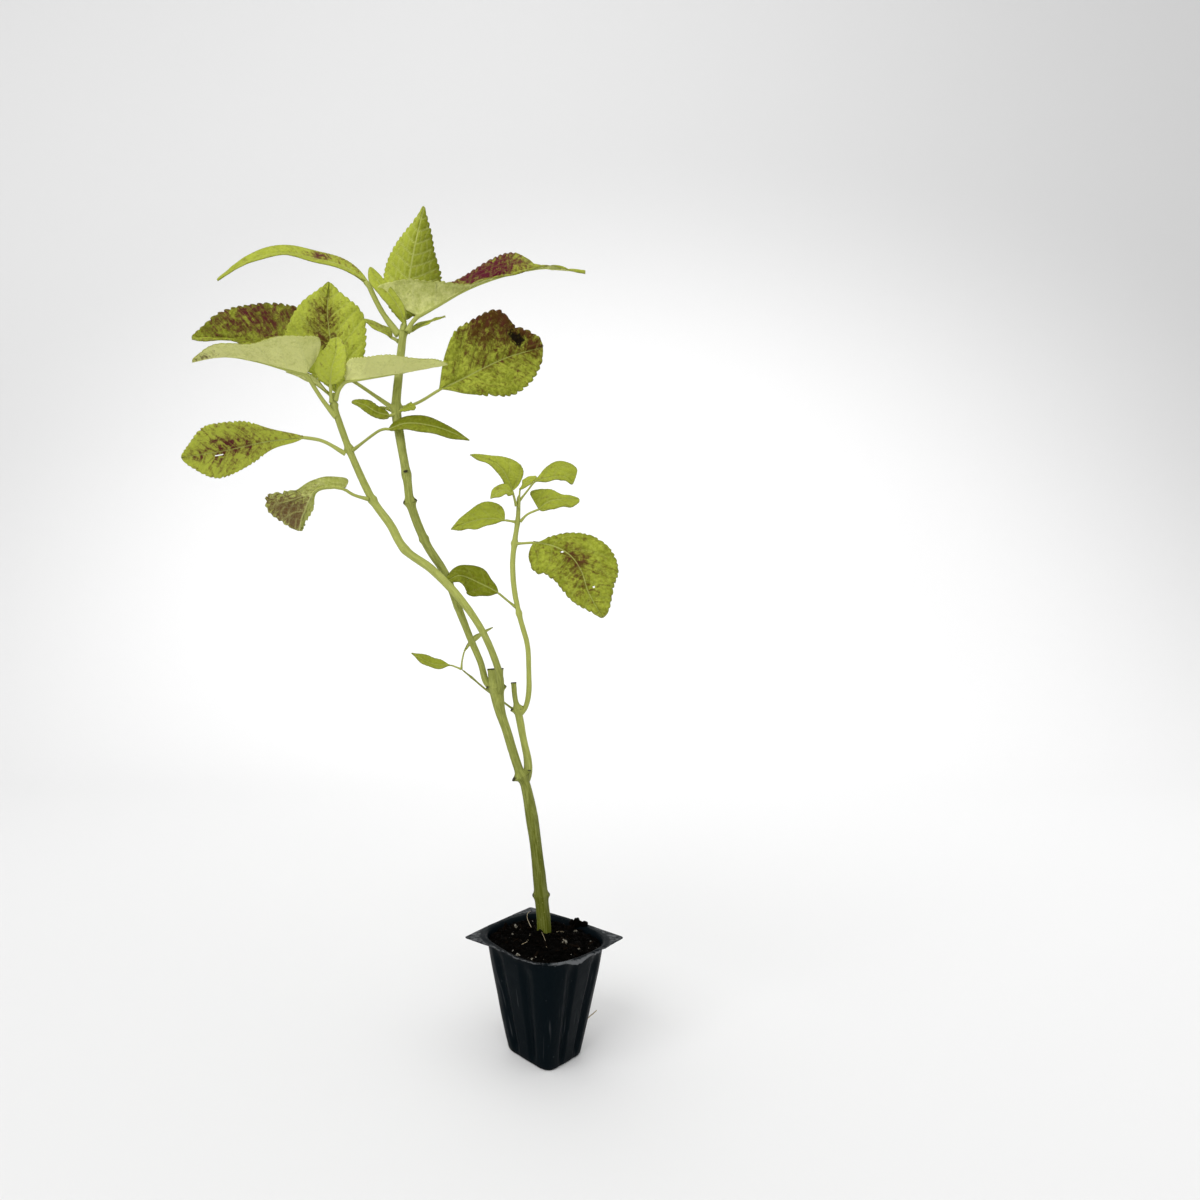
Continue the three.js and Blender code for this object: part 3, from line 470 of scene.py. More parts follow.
# Side branches of the roots outside: root, share along it, and steps (around, up, off) from there.
ROOT_BRANCHES = {
    "root_corner": [(0.45, (-4, -3, 0.4), (-9, -4, 0.8))],
    "root_middle": [(0.45, (9, 0.5, 0.3), (17, 2, 0.6)), (0.8, (-8, 3, 0.4), (-10, 8, 1.2))],
    "root_right": [(0.1, (7, 2, 0.3), (12, 3, 1.0))],
    "root_left": [(0.35, (3, 4, 0.5), (2, 8, 1.5)), (0.6, (-3, 1, 1.0), (-6, 0, 2.0))],
}

# Fine pale roots on the compost: points as x, y and height above it, then the root's radius.
SURFACE_ROOTS = [
    (
        [(-4.6, 8, 0.2), (-5.9, 9.5, 2.6), (-6.4, 10.5, 4.6), (-5.8, 11.5, 6.3), (-4.4, 12, 7.2)],
        0.15,
    ),
    ([(-1.5, 0, 0.6), (-1.8, -4, 0.5), (-1.2, -9, 0.6), (-1.4, -13, 0.4)], 0.11),
    ([(-12, -8, 0.3), (-9, -6, 0.5), (-7, -2, 0.5)], 0.12),
    ([(6, 3, 0.6), (9, 5, 0.7), (13, 5, 0.5)], 0.12),
]


# ---- Small helpers ------------------------------------------------------------------------------


def unit(v):
    """Vectors scaled to length one."""
    return v / np.maximum(np.linalg.norm(v, axis=-1, keepdims=True), 1e-9)


def ease(low, high, x):
    """0 below low, 1 above high, and smooth between."""
    f = np.clip((np.asarray(x, float) - low) / (high - low), 0, 1)
    return f * f * (3 - 2 * f)


def bell(x, width):
    """1 at zero, falling away smoothly over width."""
    return np.exp(-((np.asarray(x, float) / width) ** 2))


def cubic(a, b, c, d, f):
    """Catmull-Rom value at f between b and c."""
    squared = 2 * a - 5 * b + 4 * c - d
    cubed = 3 * b - a - 3 * c + d
    return 0.5 * (2 * b + (c - a) * f + squared * f**2 + cubed * f**3)


def smooth(values, share):
    """Smooth value at a share of the way along evenly spread values or points."""
    v = np.array(values, float)
    v = np.concatenate([[2 * v[0] - v[1]], v, [2 * v[-1] - v[-2]]])
    place = np.clip(np.asarray(share, float), 0, 1) * (len(v) - 3)
    k = np.minimum(place.astype(int), len(v) - 4)
    f = place - k
    if v.ndim > 1:
        f = f[..., None]
    return cubic(v[k], v[k + 1], v[k + 2], v[k + 3], f)


class Route:
    """A smooth curve through points, followed by its length in millimetres."""

    def __init__(self, points):
        self.points = smooth(points, np.linspace(0, 1, 60 * len(points)))
        run = np.linalg.norm(np.diff(self.points, axis=0), axis=1)
        self.along = np.concatenate([[0], np.cumsum(run)])
        self.length = self.along[-1]

    def at(self, mm):
        """Points on the curve."""
        return np.stack([np.interp(mm, self.along, self.points[:, k]) for k in range(3)], axis=-1)

    def heading(self, mm):
        """The way the curve runs, from a short step before to a short step after."""
        step = 0.4
        ahead = self.at(np.minimum(mm + step, self.length))
        return unit(ahead - self.at(np.maximum(mm - step, 0)))


def lattice(i, j, k, seed):
    """A fixed random number from 0 to 1 for each whole-numbered place."""
    n = (i * 73856093) ^ (j * 19349663) ^ (k * 83492791) ^ (seed * 26544357)
    n = ((n ^ (n >> 13)) * 1274126177) & 0x7FFFFFFF
    return ((n ^ (n >> 16)) & 0xFFFF) / 0xFFFF


def soft_noise(points, pitch, seed):
    """Smooth noise from -1 to 1 with bumps about pitch apart."""
    q = np.asarray(points, float) / pitch
    low = np.floor(q).astype(np.int64)
    f = q - low
    f = f * f * (3 - 2 * f)
    total = 0
    for corner in itertools.product((0, 1), repeat=3):
        weight = np.prod([f[..., k] if corner[k] else 1 - f[..., k] for k in range(3)], axis=0)
        total = total + weight * lattice(*(low[..., k] + corner[k] for k in range(3)), seed)
    return 2 * total - 1


class Shape:
    """Vertices, faces and per-vertex values gathered before they become one mesh."""

    def __init__(self, *marks):
        self.vertices = []
        self.faces = []
        self.slots = []
        self.marks = {name: [] for name in marks}
        self.maps = []
        self.count = 0

    def add(self, points, faces, slot=0, uv=None, **marks):
        """Adds a part; a face that names a corner twice counts it once."""
        self.vertices.append(points)
        self.faces.append(faces + self.count)
        self.slots.append(np.broadcast_to(slot, len(faces)))
        for name, rows in self.marks.items():
            rows.append(np.broadcast_to(marks.get(name, 0.0), len(points)))
        self.maps.append(np.zeros((len(points), 2)) if uv is None else uv)
        self.count += len(points)

    def piece(self, name, slot, materials, node=None):
        """Makes the object and ties it to the frame, in the place of a node if one is given."""
        mesh = bpy.data.meshes.new(name)
        faces = [list(dict.fromkeys(face)) for block in self.faces for face in block.tolist()]
        mesh.from_pydata((np.concatenate(self.vertices) * MM).tolist(), [], faces)
        for material in materials:
            mesh.materials.append(material)
        mesh.polygons.foreach_set("material_index", np.concatenate(self.slots).astype(np.int32))
        mesh.polygons.foreach_set("use_smooth", [True] * len(mesh.polygons))
        for mark, rows in self.marks.items():
            layer = mesh.attributes.new(mark, "FLOAT", "POINT")
            layer.data.foreach_set("value", np.concatenate(rows).astype(np.float32))
        corner = np.empty(len(mesh.loops), np.int32)
        mesh.loops.foreach_get("vertex_index", corner)
        flat = np.concatenate(self.maps)[corner].astype(np.float32)
        mesh.uv_layers.new(name=GRAIN_MAP).data.foreach_set("uv", flat.ravel())
        mesh.update()
        made = bpy.data.objects.new(name, mesh)
        bpy.context.scene.collection.objects.link(made)
        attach(made, BODY)
        if node:
            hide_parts(node)


def grid_faces(rows, columns, closed=False):
    """Quads of a grid numbered row by row; closed joins the last column to the first."""
    across = np.arange(columns if closed else columns - 1)
    i, j = np.meshgrid(np.arange(rows - 1), across, indexing="ij")
    k = (j + 1) % columns
    here, ahead = i * columns, (i + 1) * columns
    return np.stack([here + j, here + k, ahead + k, ahead + j], -1).reshape(-1, 4)


def closed_rings(shape, points, ends, along=None, slot=0, inward=False, **marks):
    """Adds a closed skin of rings, rows by columns, with a middle point to close each end."""
    rows, columns = points.shape[:2]
    j = np.arange(columns)
    k = (j + 1) % columns
    middle, last = rows * columns, (rows - 1) * columns
    start = np.stack([np.full(columns, middle), k, j, j], -1)
    end = np.stack([np.full(columns, middle + 1), last + j, last + k, last + k], -1)
    faces = np.concatenate([grid_faces(rows, columns, closed=True), start, end])
    flat = np.zeros((middle + 2, 2))
    if along is not None:
        flat[:middle] = np.stack(np.meshgrid(j / columns, along * MAP_SCALE), -1).reshape(-1, 2)
    for name, value in marks.items():
        value = np.broadcast_to(value, (rows, columns)).reshape(-1)
        marks[name] = np.concatenate([value, value[[0, -1]]])
    points = np.concatenate([points.reshape(-1, 3), ends])
    shape.add(points, faces[:, ::-1] if inward else faces, slot, flat, **marks)


def frames_along(route, mm):
    """Two directions across the route at each place, turning as little as they can."""
    heading = route.heading(mm)
    side = np.cross(heading[0], (0, 1, 0.2))
    sides = []
    for h in heading:
        side = side - h * np.dot(side, h)
        side = side / np.linalg.norm(side)
        sides.append(side)
    sides = np.array(sides)
    return sides, np.cross(heading, sides)


def tube(shape, centres, sides, ups, radius, along, slot=0, **marks):
    """A closed round tube, given its radii as rows by columns."""
    angle = np.linspace(0, 2 * np.pi, radius.shape[1], endpoint=False)[None, :, None]
    ring = np.cos(angle) * sides[:, None] + np.sin(angle) * ups[:, None]
    points = centres[:, None] + ring * radius[..., None]
    closed_rings(shape, points, centres[[0, -1]], along, slot, **marks)


# ---- Finishes -----------------------------------------------------------------------------------

# Share of light that a blade lets through, and how fine the net over it is.
THROUGH = 0.2
NET_SCALE = 560


class Finish:
    """A material and short ways to add its nodes."""

    def __init__(self, name):
        self.material = bpy.data.materials.new(name)
        self.material.use_nodes = True
        self.tree = self.material.node_tree
        self.shader = self.tree.nodes["Principled BSDF"]
        self.output = self.tree.nodes["Material Output"]

    def node(self, kind, settings=None, sockets=(), **inputs):
        """A node with its settings, its first sockets in order and others by name."""
        made = self.tree.nodes.new("ShaderNode" + kind)
        for key, value in (settings or {}).items():
            setattr(made, key, value)
        for socket, value in zip(made.inputs, sockets):
            self.feed(socket, value)
        for key, value in inputs.items():
            self.feed(made.inputs[key], value)
        return made

    def feed(self, socket, value):
        """Links a socket, or sets its colour or number."""
        if isinstance(value, bpy.types.NodeSocket):
            self.tree.links.new(value, socket)
        elif socket.type == "RGBA":
            socket.default_value = (*value[:3], 1)
        else:
            socket.default_value = value

    def mark(self, name):
        """A value kept at the mesh's vertices."""
        return self.node("Attribute", {"attribute_name": name}).outputs["Fac"]

    def place(self):
        """Place on the object, in metres."""
        return self.node("TexCoord").outputs["Object"]

    def grain(self, across, along):
        """The mesh's own map, stretched."""
        flat = self.node("UVMap", {"uv_map": GRAIN_MAP}).outputs["UV"]
        return self.node("Mapping", Vector=flat, Scale=(across, along, 1)).outputs["Vector"]

    def noise(self, scale, detail, rough=0.6, where=None, twist=0.0):
        """Cloudy noise, about 0.5 on average."""
        made = self.node("TexNoise", Scale=scale, Detail=detail, Roughness=rough, Distortion=twist)
        self.feed(made.inputs["Vector"], where or self.place())
        return made.outputs["Fac"]

    def net(self):
        """Distance to the nearest edge of the fine net that covers a leaf."""
        kind = {"feature": "DISTANCE_TO_EDGE"}
        made = self.node("TexVoronoi", kind, Vector=self.place(), Scale=NET_SCALE)
        return made.outputs["Distance"]

    def span(self, value, low, high, to_low=0.0, to_high=1.0):
        """Maps low..high smoothly to a new range."""
        ends = {"From Min": low, "From Max": high, "To Min": to_low, "To Max": to_high}
        made = self.node("MapRange", {"interpolation_type": "SMOOTHSTEP"}, Value=value, **ends)
        return made.outputs["Result"]

    def sum(self, kind, *values):
        """One step of arithmetic."""
        return self.node("Math", {"operation": kind}, values).outputs["Value"]

    def times(self, a, b):
        """One value times another."""
        return self.sum("MULTIPLY", a, b)

    def waver(self, base, noise, reach):
        """A value that a noise moves up and down."""
        return self.sum("MULTIPLY_ADD", self.sum("SUBTRACT", noise, 0.5), reach, base)

    def mix(self, factor, a, b):
        """A colour between two."""
        made = self.node("Mix", {"data_type": "RGBA"})
        for key, value in zip(("Factor_Float", "A_Color", "B_Color"), (factor, a, b)):
            self.feed(next(i for i in made.inputs if i.identifier == key), value)
        return next(o for o in made.outputs if o.identifier == "Result_Color")

    def bump(self, height, depth, strength, below=None):
        """Fine relief, its depth in millimetres, on top of the relief below."""
        made = self.node("Bump", Height=height, Strength=strength, Distance=depth * MM)
        if below:
            self.feed(made.inputs["Normal"], below)
        return made.outputs["Normal"]

    def dull(self, scale, detail, low, high):
        """An uneven roughness."""
        return self.span(self.noise(scale, detail), 0.3, 0.7, low, high)

    def let_light_through(self, colour):
        """Mixes in light from behind, as a thin blade does."""
        behind = self.node("BsdfTranslucent", Color=colour)
        both = self.node("MixShader", None, (THROUGH, self.shader.outputs[0], behind.outputs[0]))
        self.feed(self.output.inputs["Surface"], both.outputs[0])

    def done(self, colour, roughness, specular, skin=None):
        """Gives the shader its colour, gloss and relief."""
        shader = self.shader.inputs
        self.feed(shader["Base Color"], colour)
        self.feed(shader["Roughness"], roughness)
        self.feed(shader["Specular IOR Level"], specular)
        if skin:
            self.feed(shader["Normal"], skin)
        return self.material


def leaf_upper_finish(s):
    """Mottled green with pale ribs, burgundy streaks, dry tooth tips and a fine net."""
    f = Finish("leaf_upper_side")
    vein, stain = f.mark("vein"), f.mark("stain")
    broad = f.span(f.noise(150, 3), 0.3, 0.7, -0.16, 0.2)
    fine = f.span(f.noise(700, 4), 0.35, 0.65, -0.2, 0.16)
    tone = f.sum("MULTIPLY_ADD", f.sum("ADD", broad, fine), f.mark("mottle"), f.mark("light"))
    # Raised tissue between the veins is painted lighter: painted light on the quilting, leaving
    # painted shade in the hollows along the veins.
    tone = f.sum("MULTIPLY_ADD", f.mark("puff"), 0.16, tone)
    green = f.mix(f.span(tone, 0, 1.25), s.green_deep, s.green_light)
    ribs = f.sum("MAXIMUM", f.times(vein, f.mark("pale")), f.times(f.mark("midrib"), 0.6))
    green = f.mix(ribs, green, s.vein)
    streak = f.noise(1.0, 5, 0.65, f.grain(20, 52), 0.6)
    blotch = f.noise(330, 5, 0.72, twist=0.8)
    cover = f.span(f.waver(f.waver(stain, streak, 1.8), blotch, 2.4), 0.15, 1.0)
    cover = f.times(cover, f.sum("MULTIPLY_ADD", vein, -0.45, 0.88))
    cover = f.sum("MULTIPLY_ADD", stain, 0.14, cover)
    wine = f.span(f.waver(f.mark("wine"), f.noise(260, 4), 1.2), 0.1, 0.9)
    colour = f.mix(cover, green, f.mix(wine, s.burgundy_brown, s.burgundy))
    dry = f.times(f.mark("rim"), f.span(f.noise(500, 3), 0.4, 0.65, 0.0, 0.4))
    colour = f.mix(dry, colour, s.rim_brown)
    # Dents are painted near black: painted shade inside the curled blade.
    dent_darkness = f.waver(f.mark("scorch"), f.noise(800, 4, 0.7), 1.8)
    colour = f.mix(f.span(dent_darkness, 0.35, 0.75), colour, s.dent_shade_colour)
    skin = f.bump(f.span(f.net(), 0.0, 0.25), 0.16, 0.8)
    skin = f.bump(f.noise(2600, 3), 0.06, 0.6, skin)
    f.let_light_through(colour)
    return f.done(colour, f.dull(420, 4, 0.5, 0.72), 0.05, skin)


def leaf_lower_finish(s):
    """Pale green with mauve streaks between paler veins and a fine pale net."""
    f = Finish("leaf_under_side")
    vein = f.mark("vein")
    tone = f.sum("ADD", f.mark("light"), f.span(f.noise(200, 4), 0.3, 0.7, -0.22, 0.22))
    tone = f.sum("ADD", tone, f.span(f.noise(850, 4, 0.65), 0.35, 0.65, -0.2, 0.15))
    colour = f.mix(f.span(tone, 0, 1.1), s.under_deep, s.under_light)
    streak = f.noise(1.0, 4, 0.65, f.grain(34, 105), 0.4)
    blotch = f.noise(380, 5, 0.75, twist=0.6)
    mauve = f.span(f.waver(f.waver(f.mark("under"), streak, 1.6), blotch, 1.8), 0.25, 0.85)
    mauve = f.times(mauve, f.sum("MULTIPLY_ADD", vein, -0.6, 0.9))
    colour = f.mix(mauve, colour, s.mauve)
    colour = f.mix(f.times(vein, 0.35), colour, s.under_vein)
    net = f.span(f.net(), 0.0, 0.12, 1.0, 0.0)
    colour = f.mix(f.times(net, 0.14), colour, s.under_vein)
    skin = f.bump(net, 0.14, 0.8)
    skin = f.bump(f.noise(2400, 3), 0.05, 0.5, skin)
    f.let_light_through(colour)
    return f.done(colour, f.dull(380, 3, 0.55, 0.72), 0.05, skin)


def stem_finish(s):
    """Green skin, olive where old, with pale lines and dark scars."""
    f = Finish("stem_skin")
    streak = f.noise(1.0, 5, 0.65, f.grain(12, 18), 0.4)
    olive = f.waver(f.mark("olive"), streak, 0.8)
    colour = f.mix(f.span(olive, 0.0, 1.0), s.stem_pale, s.stem_olive)
    fleck = f.span(f.noise(1100, 3, 0.7), 0.6, 0.72)
    colour = f.mix(f.times(fleck, 0.25), colour, s.stem_light)
    lines = f.noise(1.0, 3, 0.5, f.grain(30, 6))
    colour = f.mix(f.span(lines, 0.4, 0.7, 0.0, 0.14), colour, s.stem_light)
    scar = f.waver(f.mark("scar"), f.noise(700, 4), 0.8)
    colour = f.mix(f.span(scar, 0.25, 0.7), colour, s.scar)
    skin = f.bump(lines, 0.12, 0.8)
    skin = f.bump(f.noise(1500, 4), 0.08, 0.7, skin)
    return f.done(colour, f.dull(500, 3, 0.42, 0.6), 0.12, skin)


def cell_finish(s):
    """Black plastic with dust, dried compost, scratches, a scuffed lip and a painted sheen over the
    flange.
    """
    f = Finish("black_plastic")
    dust = f.times(f.span(f.noise(90, 6, 0.7, twist=0.8), 0.45, 0.75), 0.3)
    colour = f.mix(dust, s.plastic, s.plastic_dusty)
    soil = f.span(f.waver(f.mark("grime"), f.noise(420, 6, 0.75), 1.6), 0.35, 0.8)
    colour = f.mix(soil, colour, s.plastic_soil)
    scratch = f.span(f.noise(1.0, 2, 0.5, f.grain(90, 3), 0.2), 0.65, 0.72)
    speck = f.span(f.noise(650, 2, 0.5), 0.73, 0.78)
    colour = f.mix(f.times(f.sum("MAXIMUM", scratch, speck), 0.16), colour, s.plastic_scuff_and_sheen)
    # Real scuffs on the lip, and a painted sheen over the flange, are mixed in as light grey.
    worn = f.waver(f.mark("worn"), f.noise(500, 5, 0.7), 1.8)
    colour = f.mix(f.span(worn, 0.4, 0.9, 0.0, 0.7), colour, s.plastic_scuff_and_sheen)
    gloss = f.span(f.noise(60, 5, 0.65), 0.3, 0.7, 0.3, 0.46)
    gloss = f.sum("MULTIPLY_ADD", soil, 0.4, gloss)
    skin = f.bump(f.noise(160, 3), 0.3, 0.6)
    skin = f.bump(f.noise(1.0, 3, 0.6, f.grain(30, 5)), 0.12, 0.5, skin)
    return f.done(colour, gloss, 0.022, skin)


def compost_finish(s):
    """Nearly black, damp and rough, with browner chips."""
    f = Finish("damp_compost")
    colour = f.mix(f.span(f.noise(420, 6, 0.7), 0.35, 0.7), s.compost_dark, s.compost_brown)
    colour = f.mix(f.span(f.mark("chip"), 0.0, 1.0), colour, s.bark)
    fleck = f.span(f.noise(1700, 3, 0.7), 0.66, 0.74)
    colour = f.mix(f.times(fleck, 0.2), colour, s.bark)
    skin = f.bump(f.noise(900, 6, 0.75), 0.5, 0.9)
    return f.done(colour, f.span(f.noise(600, 3), 0.35, 0.65, 0.7, 0.95), 0.02, skin)


def perlite_finish(s):
    """White foamed grains with stained pits."""
    f = Finish("perlite_foam")
    pits = f.span(f.noise(1100, 5, 0.7), 0.42, 0.62)
    skin = f.bump(f.noise(1900, 5, 0.7), 0.25, 0.8)
    return f.done(f.mix(pits, s.perlite_stained, s.perlite), 0.85, 0.3, skin)


def root_finish(s):
    """Cream roots, stained in places."""
    f = Finish("root_skin")
    stained = f.span(f.noise(700, 5, 0.7), 0.35, 0.68)
    skin = f.bump(f.noise(1600, 4), 0.12, 0.7)
    return f.done(f.mix(stained, s.root, s.root_stained), 0.7, 0.35, skin)


def finish(name, make, settings):
    """The material of that name, made the first time it is asked for."""
    return bpy.data.materials.get(name) or make(settings)


# ---- Leaf shapes --------------------------------------------------------------------------------

# A leaf's materials by their place in its list.
UPPER, LOWER, STALK = range(3)

# Fewest and most rows of a blade's mesh, and columns of one half of it.
BLADE_ROWS = 26, 190
BLADE_COLUMNS = 7, 30


def leaf_sheet(made, s):
    """The blade's middle sheet as rows down the rib by columns across, with its measures."""
    rib = Route(made["rib"])
    pitch = s.mesh_pitch / MM
    widest = max(max(made["left"]), max(made["right"]))
    rows = int(np.clip(rib.length / pitch, *BLADE_ROWS))
    half = int(np.clip(widest / (1.15 * pitch), *BLADE_COLUMNS))
    # Rows lie closer together at both ends of the rib, and columns beside it.
    even = np.linspace(0, 1, rows)
    t = 0.7 * even + 0.3 * (1 - np.cos(np.pi * even)) / 2
    angle = np.arccos(1 - 2 * t) / np.pi
    u = np.linspace(-1, 1, 2 * half + 1)
    across = np.sign(u) * (0.55 * np.abs(u) + 0.75 * u**2 - 0.3 * np.abs(u) ** 3)
    mm = t * rib.length
    centre, heading = rib.at(mm), rib.heading(mm)
    face = np.array(made["face"], float)
    if len(face) > 1:
        share = np.linspace(0, 1, len(face))
        face = np.stack([np.interp(t, share, face[:, k]) for k in range(3)], -1)
    right = unit(np.cross(heading, face))
    up = np.cross(right, heading)
    least = np.where(t < 0.5, made["stalk_radius"], 0.2)
    width, fold = [], []
    for side in ("left", "right"):
        width.append(np.maximum(smooth([0, *made[side], 0], angle), least))
        bends = made["fold_" + side]
        bends = list(bends) * 5 if len(bends) == 1 else list(bends)
        fold.append(np.radians(smooth([bends[0], *bends, bends[-1]], angle)))
    is_right = (across > 0)[None, :]
    width, fold = (np.where(is_right, v[1][:, None], v[0][:, None]) for v in (width, fold))
    reach = width * np.abs(across)
    aside = np.sign(across) * reach * np.cos(fold)
    raised = reach * np.sin(fold)
    back = (made["heel"] * (1 - t) ** 3)[:, None] * reach
    sheet = centre[:, None] + aside[..., None] * right[:, None] + raised[..., None] * up[:, None]
    sheet = sheet - back[..., None] * heading[:, None]
    return dict(
        rib=rib, t=t, across=across, width=width, reach=reach, sheet=sheet, centre=centre, up=up,
        widest=widest, size=widest / LARGE_LEAF,
    )


def cut_teeth(m, made, s):
    """Gives the blade's two margins rounded teeth that point to the tip."""
    sheet, t = m["sheet"], m["t"]
    first = made["smooth_base"]
    fade = ease(first, first + 0.1, t) * (1 - ease(0.94, 1.0, t))
    near = ease(0.78, 1.0, np.abs(m["across"]))
    pitch = s.tooth_pitch / MM * np.clip(m["size"], 0.6, 1.1)
    depth = s.tooth_depth / MM * made["teeth"] * np.clip(m["size"], 0.3, 1.1)
    for column, sign in ((0, -1), (-1, 1)):
        edge = sheet[:, column]
        step = np.linalg.norm(np.diff(edge, axis=0), axis=1)
        run = np.concatenate([[0], np.cumsum(step)])
        wobble = soft_noise(edge, 7, 5)
        # A tooth rises slowly and drops fast towards the tip.
        f = np.mod(run / pitch + 0.35 * wobble, 1.0)
        tooth = f**0.8 * (1 - f) ** 0.3 / 0.525 - 0.55
        ahead = unit(np.gradient(edge, axis=0))
        out = edge - m["centre"]
        out = unit(out - ahead * np.sum(out * ahead, axis=1, keepdims=True))
        wide_enough = ease(0.5, 3.5, m["width"][:, column])
        push = depth * tooth * fade * (1 + 0.35 * wobble) * wide_enough
        side = near * ((m["across"] * sign) > 0)
        sheet += (out + 0.35 * ahead)[:, None] * (push[:, None] * side[None, :])[..., None]


def leaf_relief(m, made, s, seed):
    """Heights of the quilted tissue and the veins, and how far each place is from a vein."""
    t, rib, reach, sheet = m["t"][:, None], m["rib"], m["reach"], m["sheet"]
    side, across = np.sign(m["across"])[None, :], np.abs(m["across"])[None, :]
    vein_rows = made["vein_rows"] or np.clip(rib.length / (s.vein_pitch / MM), 4, 9)
    row_length = rib.length / vein_rows
    # A side vein runs where row is a whole number, and leans towards the tip.
    lean = 0.8 * m["widest"] / rib.length
    warp = soft_noise(sheet, 11, seed) * 0.12
    row = vein_rows * (t - lean * (m["width"] / m["widest"]) * across**1.15) + warp + 40.0
    within = np.mod(row, 1.0)
    gap = np.minimum(within, 1 - within) * row_length * 0.8
    # Between two side veins, small veins part the tissue into raised cells.
    cell_pitch = s.cell_pitch / MM
    cell = reach / cell_pitch + 0.5 * np.floor(row) + 0.5 * soft_noise(sheet, 5, seed + 1)
    cell = np.mod(cell, 1.0)
    puff = (4 * within * (1 - within)) ** 0.6 * (0.55 + 0.45 * (4 * cell * (1 - cell)) ** 0.6)
    puff = puff * ease(0.02, 0.16, across) * (1 - ease(0.86, 1.0, across))
    midrib = bell(reach, 0.38 - 0.18 * t)
    lateral = bell(gap, 0.3) * (1 - ease(0.75, 1.0, across)) * ease(0.0, 0.05, across)
    cross = bell(np.minimum(cell, 1 - cell) * cell_pitch, 0.3) * ease(0.05, 0.2, across) * 0.35
    cross = cross * (1 - ease(0.7, 1, across))
    vein = np.clip(np.maximum(np.maximum(midrib, 0.6 * lateral), cross), 0, 1)
    size = np.clip(m["size"], 0.25, 1.1)
    ripple = np.sin(2 * np.pi * (2.6 * t + lattice(seed, 3, 1, 2)) + 2 * side)
    height = s.puff_height / MM * size * puff + s.wave / MM * size * across**2 * ripple
    height = height + 0.12 * size * soft_noise(sheet, 3, seed + 2)
    return puff, vein, midrib, lateral, height, row * row_length


def patches(spots, t, across):
    """Adds up soft patches given as share along, share across, two reaches and a strength."""
    total = 0 * t + 0 * across
    for at, aside, reach, spread, strength in spots:
        total = total + strength * bell(t - at, reach) * bell(across - aside, spread)
    return total


def open_edges(quads):
    """Edges of the quads that no second quad shares, each the way its quad runs."""
    edges = {}
    for quad in quads.tolist():
        for one, two in zip(quad, quad[1:] + quad[:1]):
            if (two, one) in edges:
                del edges[two, one]
            else:
                edges[one, two] = True
    return list(edges)


def blade_shape(shape, m, made, s, seed):
    """Adds the blade as a thin closed solid: upper side, under side and the margin between."""
    cut_teeth(m, made, s)
    puff, vein, midrib, lateral, height, row = leaf_relief(m, made, s, seed)
    sheet, rib, width = m["sheet"], m["rib"], m["width"]
    t, across = m["t"][:, None], m["across"][None, :]
    height = height - patches(made["scorch"], t, across)
    normal = unit(np.cross(np.gradient(sheet, axis=1), np.gradient(sheet, axis=0)))
    half = s.thickness / MM / 2
    size = np.clip(m["size"], 0.3, 1)
    top = sheet + normal * (height + half - 0.25 * size * midrib)[..., None]
    low = sheet + normal * (height - half - size * (0.22 * lateral + 0.35 * midrib))[..., None]
    rows, columns = height.shape
    keep = np.ones((rows - 1, columns - 1), bool)
    for at, aside, half_length, half_width in made["holes"]:
        along_hole = (t - at) * rib.length / half_length
        across_hole = (across - aside) * width / half_width
        keep &= np.hypot(along_hole, across_hole)[:-1, :-1] > 1
    kept = grid_faces(rows, columns)[keep.ravel()]
    under = rows * columns
    wall = np.array([(two, one, one + under, two + under) for one, two in open_edges(kept)])
    faces = np.concatenate([kept, kept[:, ::-1] + under, wall])
    slots = np.repeat([UPPER, LOWER, UPPER], [len(kept), len(kept), len(wall)])
    flat = np.stack([np.sign(across) * m["reach"], row + 50 * (across > 0)], -1) * MAP_SCALE
    margin = bell((1 - np.abs(across)) * width, 0.55)
    marks = dict(
        stain=np.clip(made["dapple"] + patches(made["stain"], t, across), 0, 1.1),
        under=np.clip(made["under"] + patches(made["under_stain"], t, across), 0, 1),
        rim=np.clip(margin + bell((1 - t) * rib.length, 0.7), 0, 1),
        scorch=patches([(*spot[:4], 1.0) for spot in made["scorch"]], t, across),
        # One half of the blade is painted lighter than the other: painted light, as if falling from
        # one side.
        light=made["light"] + made["bright_side"] * across,
        vein=vein, puff=puff, midrib=midrib, wine=made["wine"], pale=made["pale_veins"],
        mottle=made["mottle"], olive=0.2,
    )
    for name, value in marks.items():
        marks[name] = np.tile(np.broadcast_to(value, height.shape).reshape(-1), 2)
    points = np.concatenate([top.reshape(-1, 3), low.reshape(-1, 3)])
    shape.add(points, faces, slots, np.tile(flat.reshape(-1, 2), (2, 1)), **marks)


